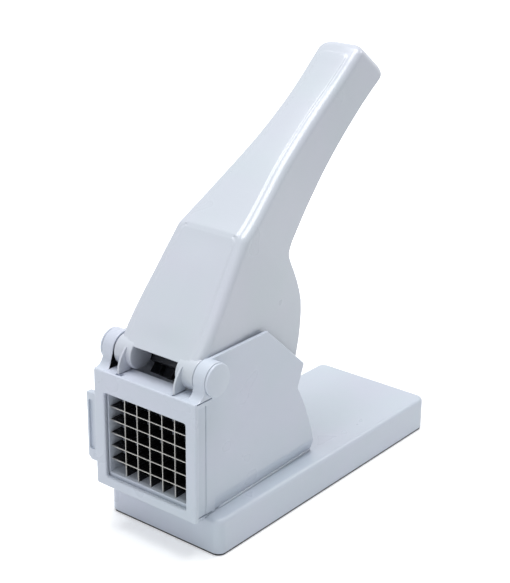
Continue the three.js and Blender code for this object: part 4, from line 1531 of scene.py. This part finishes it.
@dataclass
class Lever:
    """Hollow lever in its own directions: along the handle from the hinge axis, and square to it."""

    datum: Datum
    slope: float = 38.0
    reach: float = 249.0
    wall: float = 2.2
    edge: float = 5.0
    start: float = -1.3
    end_corner: float = 9.0
    end_lean: float = 7.0
    lean_length: float = 34.0
    lean_heights: Pair = (-4.0, 24.0)
    crease: float = 78.5
    crease_height: float = 30.0
    hinge_height: float = 9.2
    crease_soft: float = 1.4
    crease_samples: int = 9
    crown: float = 0.5
    ridge: float = 1.15
    ridge_soft: float = 1.2
    ridge_margin: float = 4.0
    ridge_fade: Pair = (14.0, 22.0)
    panel_rise: float = 0.6
    panel_margin: float = 1.4
    panel_corner: float = 5.0
    panel_soft: float = 1.1
    relief_fade: float = 1.5
    grip_end: float = 12.5
    skirt_depth: float = 82.0
    hub_radius: float = 10.3
    hub_inner: float = 18.0
    hub_outer: float = 31.8
    hub_edge: float = 0.9
    hub_wall: float = 2.2
    rib_half: float = 0.75
    rib_edge: float = 0.3
    rib_front: tuple[Pair, ...] = (
        (-9.2, 6.2), (-11.3, 4.0), (-14.1, 0.3), (-15.4, -2.6), (-16.1, -5.0), (-16.3, -9.6),
    )
    rib_back: tuple[Pair, ...] = ((-1.0, -1.0), (-4.0, 5.0))
    rib_foot_length: float = 10.0
    boss_radius: float = 4.0
    boss_edge: float = 0.3
    boss_drop: float = 0.9
    hole_radius: float = 1.8
    hole_span: Pair = (-3.0, 8.0)
    stroke: float = 56.0
    rim_edge: float = 0.45
    rim_angle: float = 55.0
    row_step: float = 1.2
    top_points: int = 64
    flank_steps: int = 16
    corner_steps: int = 12
    edge_steps: int = 8
    height_knots: tuple[Pair, ...] = (
        (78.5, 30.0), (87.7, 28.9), (111.0, 27.4), (135.9, 26.2), (155.8, 24.8), (176.0, 23.7),
        (190.9, 23.0), (205.3, 22.6), (219.2, 22.8), (231.3, 23.2), (268.0, 23.4),
    )
    top_half_knots: tuple[Pair, ...] = (
        (-12.0, 32.1), (0.0, 32.1), (12.0, 32.6), (28.2, 32.0), (47.0, 30.4), (67.0, 28.8), (78.5, 27.8),
        (87.7, 27.0), (111.0, 23.6), (135.9, 19.9), (155.8, 17.9), (176.0, 16.8), (190.9, 16.5),
        (205.3, 16.7), (219.2, 17.0), (268.0, 17.0),
    )
    low_half_knots: tuple[Pair, ...] = (
        (-12.0, 32.2), (29.2, 32.1), (48.7, 31.7), (63.3, 31.2), (78.5, 30.6), (87.7, 29.8),
        (99.8, 28.2), (111.0, 27.0), (135.9, 23.5), (155.8, 21.4), (176.0, 20.3), (268.0, 20.3),
    )
    under_knots: tuple[Pair, ...] = (
        (-1.3, 0.0), (2.1, -2.0), (28.8, -76.5), (37.0, -76.5), (48.0, -74.5), (60.1, -70.7),
        (68.6, -64.8), (76.0, -58.8), (83.3, -52.0), (88.0, -46.7), (91.4, -40.5), (94.1, -33.8),
        (96.4, -26.3), (98.2, -19.0), (99.6, -15.6), (102.0, -13.6), (108.5, -12.0), (124.0, -11.2),
        (146.1, -10.4), (172.0, -8.9), (199.0, -7.6), (217.0, -6.8), (230.5, -7.1), (239.5, -7.7),
        (244.6, -7.6), (247.9, -6.2), (249.0, -4.2),
    )

    def top(self, along: Points) -> Points:
        """Height of the top, averaged over a short stretch so that the crease is soft.

        Args:
            along: Distance from the hinge axis along the handle.

        Returns:
            Distance square to the handle.
        """
        offsets = np.linspace(-self.crease_soft, self.crease_soft, self.crease_samples)
        place = np.asarray(along)[..., None] + offsets
        rise = (self.crease_height - self.hinge_height) / self.crease
        near = self.hinge_height + rise * place
        far = smooth_through(self.height_knots, place)
        return np.where(place < self.crease, near, far).mean(axis=-1)

    def half_width(self, along: Points, height: Points) -> Points:
        """Half width of the flanks, straight between the width under the top edge and the skirt's.

        Args:
            along: Distance from the hinge axis along the handle.
            height: Distance square to the handle.

        Returns:
            The half widths.
        """
        shoulder = self.top(along) - self.edge
        upper = smooth_through(self.top_half_knots, along)
        lower = smooth_through(self.low_half_knots, along)
        return upper + (lower - upper) * (shoulder - height) / (shoulder + self.skirt_depth)

    def underside(self, along: Points) -> Points:
        """Height of the lower edge, straight between its points."""
        place, height = np.array(self.under_knots).T
        return np.interp(along, place, height)

    def placed(self, along: Points, across: Points, height: Points) -> Points:
        """Lever places in the frame.

        Near the tip the end face leans back with height: the place along the handle loses end_lean
        times the share of the way between lean_heights, eased in over lean_length.

        Args:
            along: Distance from the hinge axis along the handle.
            across: Place across the lever, in X.
            height: Distance square to the handle.

        Returns:
            Points in the frame, one row each.
        """
        ease = smooth_step((along - (self.reach - self.lean_length)) / self.lean_length)
        foot, head = self.lean_heights
        share = np.clip((height - foot) / (head - foot), 0, 1)
        leaned = along - self.end_lean * ease * share
        angle = math.radians(self.slope)
        y = self.datum.hinge_y + leaned * math.cos(angle) - height * math.sin(angle)
        z = self.datum.hinge_z + leaned * math.sin(angle) + height * math.cos(angle)
        return np.stack(np.broadcast_arrays(across, y, z), axis=-1).reshape(-1, 3)

    def relief(self, along: Points, across: Points, edge: Points) -> Points:
        """Small heights added to the top face.

        They are a crown of crown (1 - q^2), with q the share of the way to the edge; below the crease
        a low roof of ridge (1 - sqrt(x^2 + s^2) / sqrt(e^2 + s^2)), with e the edge and s ridge_soft,
        which fades at its ends; and one raised panel on each side of the crease, whose border is a
        rounded box, told by the distance to it.

        Args:
            along: Distance from the hinge axis.
            across: Place across the lever.
            edge: Half width of the top face there.

        Returns:
            Heights to add.
        """
        share = np.clip(np.abs(across) / edge, 0, 1)
        crown = self.crown * (1 - share**2)
        margin, (fade_in, fade_out) = self.ridge_margin, self.ridge_fade
        lower = smooth_step((self.crease - margin - along) / fade_out)
        lower = lower * smooth_step((along - margin) / fade_in)
        roof = np.sqrt(across**2 + self.ridge_soft**2) / np.sqrt(edge**2 + self.ridge_soft**2)
        side = np.abs(across) - (edge - self.panel_margin)
        ahead = np.where(along < self.crease, along - self.crease, along - (self.reach - self.grip_end))
        beside = np.maximum(side + self.panel_corner, 0)
        beyond = np.maximum(ahead + self.panel_corner, 0)
        distance = np.hypot(beside, beyond) - self.panel_corner
        panel = self.panel_rise * smooth_step(-distance / self.panel_soft)
        return crown + self.ridge * lower * (1 - roof) + panel

    def sheet(self) -> Surface:
        """Outer skin as one open sheet: flanks and rounded edge along the plan's path, and the top.

        The path runs along one side, round the end's corner, across the end and back. At path angle
        b, which is 0 on the sides and 90 degrees on the end, the half width is narrowed by
        corner (1 - cos b). The edge's quarter turn moves a point in by edge (1 - cos a) and down
        from the top by edge (1 - sin a). The top face spans straight between the two sides.

        Returns:
            The open sheet, faces outwards.
        """
        stations = np.arange(self.start, self.reach - self.end_corner, self.row_step)
        kinks = [place for place, _ in self.under_knots if place < self.reach - self.end_corner]
        side_along = np.unique(np.round(np.concatenate([stations, kinks]), decimals=3))
        turn = np.linspace(0, np.pi / 2, self.corner_steps + 1)
        along = np.concatenate([side_along, self.reach - self.end_corner * (1 - np.sin(turn))])
        bend = np.concatenate([np.zeros(len(side_along)), turn])
        spread = np.linspace(-1, 1, self.top_points)
        path_along = np.concatenate([along, np.full(self.top_points - 2, self.reach), along[::-1]])
        path_bend = np.concatenate([bend, np.full(self.top_points - 2, np.pi / 2), bend[::-1]])
        path_side = np.concatenate([np.full(len(along), -1.0), spread[1:-1], np.full(len(along), 1.0)])
        narrow = self.end_corner * (1 - np.cos(path_bend))

        lift = np.linspace(np.pi / 2, 0, self.edge_steps + 1)[:, None]
        moved_in = self.edge * (1 - np.cos(lift))
        edge_along = path_along - moved_in * np.sin(path_bend)
        shoulder = self.top(path_along) - self.edge
        width = self.half_width(path_along, shoulder) - narrow
        edge_across = path_side * width - np.sign(path_side) * moved_in * np.cos(path_bend)
        edge_height = self.top(edge_along) - self.edge * (1 - np.sin(lift))

        fall = np.linspace(0, 1, self.flank_steps + 1)[1:, None]
        wall_height = shoulder + (self.underside(path_along) - shoulder) * fall
        wall_across = path_side * (self.half_width(path_along[None], wall_height) - narrow)
        wall_along = np.broadcast_to(path_along, wall_height.shape)
        skirt = self.placed(
            np.concatenate([edge_along, wall_along]),
            np.concatenate([edge_across, wall_across]),
            np.concatenate([edge_height, wall_height]),
        )
        rows = self.edge_steps + 1 + self.flank_steps
        flank = Surface(skirt, grid_quads(rows, len(path_along)))

        count = len(along)
        top_along = edge_along[0, :count, None]
        top_edge = -edge_across[0, :count, None]
        top_across = top_edge * spread[None]
        raised = self.relief(top_along, top_across, top_edge)
        raised = raised * smooth_step((1 - np.abs(spread)) * top_edge / self.relief_fade)
        raised[-1] = 0
        top_height = self.top(top_along) + raised
        cover = Surface(
            self.placed(np.broadcast_to(top_along, top_across.shape), top_across, top_height),
            grid_quads(count, self.top_points),
        )
        return self._faced(flank, cover)

    @staticmethod
    def _faced(flank: Surface, cover: Surface) -> Surface:
        """Turns both parts of the skin outwards and gathers them.

        Args:
            flank: The flanks and the rounded edge.
            cover: The top face.

        Returns:
            The whole skin.
        """
        normal = np.cross(
            cover.points[cover.quads[:, 1]] - cover.points[cover.quads[:, 0]],
            cover.points[cover.quads[:, 3]] - cover.points[cover.quads[:, 0]],
        )
        up = cover if normal[:, 2].sum() > 0 else cover.reversed()
        return gathered([flank.outward(), up])

    def hubs(self) -> list[Surface]:
        """Knuckles that turn on the pins.

        Returns:
            The right and the left knuckle.
        """
        hub = turned_rod(
            (self.datum.hinge_y, self.datum.hinge_z),
            self.hub_radius, self.hub_inner, self.hub_outer, self.hub_edge, Along.X,
        )
        return hub.pair()

    def ribs(self) -> list[Surface]:
        """Fins in front of the knuckles that come down into the ledge's slots and stop the lever.

        Returns:
            The right and the left fin.
        """
        y, z = self.datum.hinge_y, self.datum.hinge_z
        front = np.array(self.rib_front)
        behind = [(front[-1, 0] + self.rib_foot_length, front[-1, 1]), *self.rib_back]
        outline = np.concatenate([front, behind]) + (y, z)
        near, far = self.datum.stop_offset - self.rib_half, self.datum.stop_offset + self.rib_half
        return slab(outline, near, far, self.rib_edge, Along.X).pair()

    def bosses(self) -> tuple[list[Surface], list[Surface]]:
        """Posts under the top for the pusher's screws, and their holes.

        They are drawn as they stand when the lever is pressed and are then turned up with it. A post
        ends in the middle of the top's wall, which leans by lean there.

        Returns:
            The posts and the holes.
        """
        y, z = self.datum.hinge_y, self.datum.hinge_z
        stroke = math.radians(self.stroke)
        rise = math.atan2(self.crease_height - self.hinge_height, self.crease)
        lean = math.radians(self.slope) + rise - stroke
        middle = self.hinge_height * math.cos(rise) - self.wall / 2
        base = z - self.hub_radius - self.boss_drop
        (low, high), edge = self.hole_span, self.datum.bore_edge
        posts, holes = [], []
        for number in SCREW_NUMBERS:
            screw = NodeBox.of(f"pusher_screw_{number}").middle
            behind = (screw[1] - y) * math.cos(stroke) + (screw[2] - z) * math.sin(stroke)
            plate = z + middle / math.cos(lean) + behind * math.tan(lean)
            place = (screw[0], y + behind)
            post = turned_rod(place, self.boss_radius, base, plate, self.boss_edge, Along.Z)
            hole = turned_rod(place, self.hole_radius, base + low, base + high, edge, Along.Z)
            posts.append(post.turned(self.stroke, y, z))
            holes.append(hole.turned(self.stroke, y, z))
        return posts, holes

    def build(self, shop: Workshop) -> None:
        """Makes and fits the lever."""
        datum = self.datum
        posts, holes = self.bosses()
        start, end = self.hub_inner + self.hub_wall, self.hub_outer + datum.overrun
        axis = (datum.hinge_y, datum.hinge_z)
        bore = turned_rod(axis, datum.pin_bore, start, end, datum.bore_edge, Along.X)
        blank = Blank("lever_moulding", self.sheet()).walled(self.wall).eased(self.rim_edge, self.rim_angle)
        blank.joined(*self.hubs(), *self.ribs(), *posts).cut(*bore.pair(), *holes)
        shop.fit(blank.done(), Body.LEVER, Slot.LEVER, "lever_shell")


@dataclass
class Pusher:
    """Block with a peg for each cell, drawn as it stands when the lever is pressed, then turned up."""

    datum: Datum
    half: float = 28.6
    face: float = 1.4
    plate: float = 3.6
    plate_corner: float = 1.2
    bottom: float = 38.0
    below_hub: float = 1.2
    flange: float = 3.0
    flange_reach: float = 34.0
    flange_half: float = 25.5
    flange_corner: float = 1.5
    gusset: float = 2.4
    gusset_spread: float = 10.2
    gusset_foot: float = 50.0
    gusset_inset: float = 1.5
    gusset_corner: float = 0.5
    gusset_edge: float = 0.4
    peg_half: Pair = (3.6, 2.7)
    peg_reach: float = 6.4
    peg_edge: float = 0.5
    peg_steps: int = 4
    rim_steps: int = 3
    edge: float = 0.6

    def pegs(self) -> Surface:
        """All pegs: each is a short curved bar about the hinge axis, so that it enters its cell square.

        A place on a circle of radius R, a depth d in front of the axis and under it, is at the angle
        270 - asin(d / R) in degrees.

        Returns:
            The closed pegs.
        """
        y, z = self.datum.hinge_y, self.datum.hinge_z
        face = self.datum.front + self.face
        tip, root = y - (face - self.peg_reach), y - (face + self.plate / 2)
        made = []
        for row in range(CELLS):
            drop = z - (GRID_BOTTOM + (row + 0.5) * PITCH[1])
            radius = math.hypot(drop, tip - self.peg_half[1] / 2)
            far, near = radius + self.peg_half[1], radius - self.peg_half[1]
            bounds = [
                270 - math.degrees(math.asin(depth / size))
                for depth, size in ((tip, far), (root, far), (root, near), (tip, near))
            ]
            outline = np.concatenate([
                arc((y, z), far, bounds[0], bounds[1], self.peg_steps),
                arc((y, z), near, bounds[2], bounds[3], self.peg_steps),
            ])
            for column in range(CELLS):
                middle = (column + 0.5 - CELLS / 2) * PITCH[0]
                left, right = middle - self.peg_half[0], middle + self.peg_half[0]
                made.append(slab(outline, left, right, self.peg_edge, Along.X, self.rim_steps))
        return gathered(made)

    def braced_plate(self, lever: Lever) -> list[Surface]:
        """Plate behind the grid, flange under the lever's knuckles and the gussets between them.

        Args:
            lever: The lever that the flange is screwed to.

        Returns:
            The plate, the flange and the gussets.
        """
        top = self.datum.hinge_z - lever.hub_radius - self.below_hub
        under = top - self.flange
        face = self.datum.front + self.face
        rear = self.datum.front + self.flange_reach
        plate = slab(
            box_outline(-self.half, self.half, self.bottom, top, self.plate_corner),
            face, face + self.plate, self.edge, Along.Y,
        )
        flange = slab(
            box_outline(-self.flange_half, self.flange_half, face, rear, self.flange_corner),
            under, top, self.edge, Along.Z,
        )
        root, end = face + self.plate / 2, rear - self.gusset_inset
        inside = top - self.flange / 2
        outline = rounded(
            [(root, self.gusset_foot), (end, under), (end, inside), (root, inside)], self.gusset_corner
        )
        gussets = []
        for place in (-1, 0, 1):
            middle = place * self.gusset_spread
            left, right = middle - self.gusset / 2, middle + self.gusset / 2
            gussets.append(slab(outline, left, right, self.gusset_edge, Along.X))
        return [plate, flange, *gussets]

    def build(self, shop: Workshop) -> None:
        """Makes and fits the pusher block and its screws."""
        lever = Lever(self.datum)
        first, *others = [
            part.turned(lever.stroke, self.datum.hinge_y, self.datum.hinge_z)
            for part in (*self.braced_plate(lever), self.pegs())
        ]
        item = Blank("pusher_moulding", first).joined(*others).done()
        # The pusher takes the near-black finish, painted shade of the chamber's inside.
        shop.fit(item, Body.LEVER, Slot.DARK, "pusher_block")
        for number in SCREW_NUMBERS:
            shop.dress(f"pusher_screw_{number}", Slot.SCREW)


@dataclass
class Cassette:
    """Frame of the cutting grid with its pull tab, the retainer ring and the blades."""

    datum: Datum
    half: float = 35.5
    corner: float = 3.0
    corner_steps: int = 10
    outer_corner: float = 0.8
    edge: float = 0.5
    opening_half: float = 32.9
    opening: Pair = (GRID_BOTTOM, GRID_BOTTOM + CELLS * PITCH[1])
    opening_corner: float = 0.8
    tab_lap: float = 1.0
    tab_thickness: float = 4.2
    tab_chamfer: float = 2.5
    tab_corner: float = 0.9
    tab_edge: float = 0.6
    tab_span: Pair = (40.7, 88.0)
    tab_slot: Pair = (1.7, 4.2)
    tab_slot_span: Pair = (48.5, 83.0)
    tab_slot_depth: float = 1.6
    tab_slot_corner: float = 1.2
    tab_slot_edge: float = 0.3
    ring_corner: float = 1.5
    ring_edge: float = 0.4
    blade_half: float = 0.3
    blade_tip: float = 0.16
    blade_bevel: float = 1.6
    blade_edge: float = 0.05
    blade_crease: float = 20.0

    def __post_init__(self) -> None:
        """Reads the cassette's place from the frame."""
        self.box = NodeBox.of("cassette_frame")

    def ring(self, outer: Points, near: float, far: float, edge: float) -> Surface:
        """A frame round the grid's opening.

        Args:
            outer: Its outline.
            near: Where it starts in Y.
            far: Where it ends.
            edge: Radius of its edges.

        Returns:
            The closed frame.
        """
        inner = box_outline(-self.opening_half, self.opening_half, *self.opening, self.opening_corner)
        return ring_frame(outer, inner, near, far, edge, Along.Y)

    def tab(self) -> tuple[Surface, Surface]:
        """Pull tab at the frame's left end, and the shallow recess for a finger.

        Returns:
            The tab and the recess to cut from it.
        """
        end, front = self.box.low[0], self.box.low[1]
        inside = -self.half + self.tab_lap
        low, high = self.tab_span
        outline = rounded([
            (inside, low), (inside, high), (end, high),
            (end, low + self.tab_chamfer), (end + self.tab_chamfer, low),
        ], self.tab_corner)
        tab = slab(outline, front, front + self.tab_thickness, self.tab_edge, Along.Y)
        start = end + self.tab_slot[0]
        slot = slab(
            box_outline(start, start + self.tab_slot[1], *self.tab_slot_span, self.tab_slot_corner),
            front - self.datum.overrun, front + self.tab_slot_depth, self.tab_slot_edge, Along.Y,
        )
        return tab, slot

    def frame_piece(self) -> bpy.types.Object:
        """The cassette's frame with its tab, and its top rear edge rounded off.

        Returns:
            The finished object.
        """
        low, high = self.box.low, self.box.high
        outer = box_outline(-self.half, self.half, low[2], high[2], self.outer_corner)
        tab, slot = self.tab()
        radius, over = self.corner, self.datum.overrun
        top, rear = high[2], high[1]
        turn = arc((rear - radius, top - radius), radius, 90, 0, self.corner_steps)
        outside = [(rear + over, top - radius), (rear + over, top + over), (rear - radius, top + over)]
        reach = self.half + over
        round_off = slab(
            np.concatenate([turn, outside]), -reach, reach, self.datum.cut_edge, Along.X
        )
        blank = Blank("cassette_moulding", self.ring(outer, low[1], high[1], self.edge))
        return blank.joined(tab).cut(slot, round_off).done()

    def blade(self, place: float, upright: bool) -> Surface:
        """One blade: a thin section with a bevelled cutting edge, carried along its length.

        Args:
            place: Where it stands across the grid.
            upright: Whether it runs upwards.

        Returns:
            The closed blade.
        """
        node = NodeBox.of("upright_blade_1" if upright else "level_blade_1")
        near, far = node.low[1], node.high[1]
        half, tip = self.blade_half, self.blade_tip
        section = np.array([
            (place - tip, near), (place + tip, near), (place + half, near + self.blade_bevel),
            (place + half, far), (place - half, far), (place - half, near + self.blade_bevel),
        ])
        if upright:
            return slab(section, node.low[2], node.high[2], self.blade_edge, Along.Z, 1)
        return slab(section[:, ::-1], node.low[0], node.high[0], self.blade_edge, Along.X, 1)

    def build(self, shop: Workshop) -> None:
        """Makes and fits the cassette's pieces."""
        shop.fit(self.frame_piece(), Body.CASSETTE, Slot.PALE, "cassette_frame")
        box = NodeBox.of("blade_retainer")
        outer = box_outline(box.low[0], box.high[0], box.low[2], box.high[2], self.ring_corner)
        item = Blank("retainer_ring", self.ring(outer, box.low[1], box.high[1], self.ring_edge)).done()
        shop.fit(item, Body.CASSETTE, Slot.PALE, "blade_retainer")
        for number in range(1, CELLS):
            x = (number - CELLS / 2) * PITCH[0]
            upright = Blank(f"blade_upright_{number}", self.blade(x, True)).done(self.blade_crease)
            shop.fit(upright, Body.CASSETTE, Slot.BLADE, f"upright_blade_{number}")
            z = GRID_BOTTOM + number * PITCH[1]
            level = Blank(f"blade_level_{number}", self.blade(z, False)).done(self.blade_crease)
            shop.fit(level, Body.CASSETTE, Slot.BLADE, f"level_blade_{number}")


@dataclass(frozen=True)
class Lamp:
    """A soft square lamp: where it hangs, its side in millimetres and its power in watts."""

    name: str
    place: Triple
    size: float
    power: float

    def hang(self, target: Triple) -> None:
        """Hangs the lamp and points it.

        Args:
            target: Place that it points at, in millimetres.
        """
        data = bpy.data.lights.new(self.name, "AREA")
        data.shape = "SQUARE"
        data.size = self.size * MM
        data.energy = self.power
        item = bpy.data.objects.new(self.name, data)
        item.location = Vector(self.place) * MM
        aim = Vector(target) - Vector(self.place)
        item.rotation_euler = aim.to_track_quat("-Z", "Y").to_euler()
        bpy.context.scene.collection.objects.link(item)


@dataclass
class Studio:
    """Pale floor, white surroundings, soft lamps and the camera at the photograph's viewing angle."""

    azimuth: float = 38.65
    elevation: float = 21.4
    roll: float = 0.6
    focal_pixels: float = 1400.0
    camera_place: Triple = (522.85, -679.3, 464.9)
    sensor: float = 36.0
    clip: Pair = (10.0, 50000.0)
    floor_half: float = 14000.0
    floor_colour: Colour = (0.86, 0.87, 0.88)
    floor_rough: float = 0.9
    near_glow: float = 0.34
    far_glow: float = 0.8
    glow_start: float = 120.0
    glow_end: float = 330.0
    glow_stretch: float = 0.45
    fill_colour: Colour = (0.97, 0.985, 1.0)
    fill_strength: float = 0.34
    lamp_target: Triple = (0, 0, 120)
    lamps: tuple[Lamp, ...] = (
        Lamp("overhead", (-100, 100, 2400), 1500, 56),
        Lamp("front", (0, -1700, 900), 900, 6.5),
        Lamp("edge_light", (550, 1090, 990), 180, 2),
    )

    def camera(self) -> None:
        """Places the camera: its axes come from the azimuth, the elevation and the roll."""
        turn, tilt, roll = (math.radians(angle) for angle in (self.azimuth, self.elevation, self.roll))
        right = Vector((math.cos(turn), math.sin(turn), 0))
        back = Vector((math.sin(turn) * math.cos(tilt), -math.cos(turn) * math.cos(tilt), math.sin(tilt)))
        up = back.cross(right)
        rolled_right = right * math.cos(roll) + up * math.sin(roll)
        rolled_up = up * math.cos(roll) - right * math.sin(roll)
        data = bpy.data.cameras.new("photo_camera")
        data.sensor_width = self.sensor
        data.lens = self.focal_pixels * self.sensor / max(PHOTO_WIDTH, PHOTO_HEIGHT)
        data.clip_start, data.clip_end = (distance * MM for distance in self.clip)
        item = bpy.data.objects.new("photo_camera", data)
        axes = Matrix((rolled_right, rolled_up, back)).transposed().to_4x4()
        item.matrix_world = Matrix.Translation(Vector(self.camera_place) * MM) @ axes
        bpy.context.scene.collection.objects.link(item)
        bpy.context.scene.camera = item

    def floor(self) -> None:
        """Lays a pale floor that shows white to the camera and still takes the object's shadow."""
        half = self.floor_half * MM
        mesh = bpy.data.meshes.new("floor")
        corners = [(-half, -half, 0), (half, -half, 0), (half, half, 0), (-half, half, 0)]
        mesh.from_pydata(corners, [], [(0, 1, 2, 3)])
        shader = Shader("floor_white")
        shader.surface.inputs["Base Color"].default_value = (*self.floor_colour, 1)
        shader.surface.inputs["Roughness"].default_value = self.floor_rough
        shader.surface.inputs["Specular IOR Level"].default_value = 0
        white = shader.node("ShaderNodeEmission")
        shader.join(self._glow(shader), white.inputs["Strength"])
        both = shader.node("ShaderNodeAddShader")
        shader.join(shader.surface.outputs[0], both.inputs[0])
        shader.join(white.outputs[0], both.inputs[1])
        shader.join(both.outputs[0], shader.tree.nodes["Material Output"].inputs["Surface"])
        mesh.materials.append(shader.material)
        item = bpy.data.objects.new("floor", mesh)
        bpy.context.scene.collection.objects.link(item)

    def _glow(self, shader: Shader) -> bpy.types.NodeSocket:
        """Strength of the floor's own white, which lights nothing.

        It rises softly from near_glow beside the object to far_glow, with the distance from the
        middle of the floor, in which a length along Y counts glow_stretch times.

        Args:
            shader: The floor's material.

        Returns:
            The strength for camera, glossy and transmission rays, and 0 for the others.
        """
        mapping = shader.node("ShaderNodeMapping")
        mapping.inputs["Scale"].default_value = (1, self.glow_stretch, 1)
        shader.join(shader.place, mapping.inputs["Vector"])
        length = shader.node("ShaderNodeVectorMath", operation="LENGTH")
        shader.join(mapping.outputs["Vector"], length.inputs[0])
        reach = (self.glow_start * MM, self.glow_end * MM)
        rise = shader.spread(length.outputs["Value"], reach, (self.near_glow, self.far_glow), soft=True)
        strength = shader.node("ShaderNodeMath", operation="MULTIPLY")
        shader.join(rays_for_white(shader.tree), strength.inputs[0])
        shader.join(rise, strength.inputs[1])
        return strength.outputs[0]

    def surroundings(self) -> None:
        """White to the camera and in reflections, softer as light on the object."""
        world = bpy.data.worlds.new("surroundings")
        bpy.context.scene.world = world
        world.use_nodes = True
        tree = world.node_tree
        fill = tree.nodes["Background"]
        fill.inputs["Color"].default_value = (*self.fill_colour, 1)
        fill.inputs["Strength"].default_value = self.fill_strength
        white = tree.nodes.new("ShaderNodeBackground")
        white.inputs["Strength"].default_value = 1
        white.inputs["Color"].default_value = (1, 1, 1, 1)
        mix = tree.nodes.new("ShaderNodeMixShader")
        for start, end in (
            (rays_for_white(tree), mix.inputs[0]),
            (fill.outputs[0], mix.inputs[1]),
            (white.outputs[0], mix.inputs[2]),
            (mix.outputs[0], tree.nodes["World Output"].inputs["Surface"]),
        ):
            tree.links.new(start, end)

    def build(self) -> None:
        """Sets up the whole studio."""
        bpy.context.scene.view_settings.view_transform = "Standard"
        self.camera()
        self.floor()
        self.surroundings()
        for lamp in self.lamps:
            lamp.hang(self.lamp_target)


def main() -> None:
    """Builds every sub-assembly in order."""
    logging.basicConfig(level=logging.INFO, format="%(message)s")
    shop = Workshop()
    datum = Datum.read()
    Studio().build()
    Base().build(shop)
    Housing(datum).build(shop)
    Chamber().build(shop)
    HingeCap().build(shop)
    Lever(datum).build(shop)
    Pusher(datum).build(shop)
    Cassette(datum).build(shop)


if __name__ == "__main__":
    main()
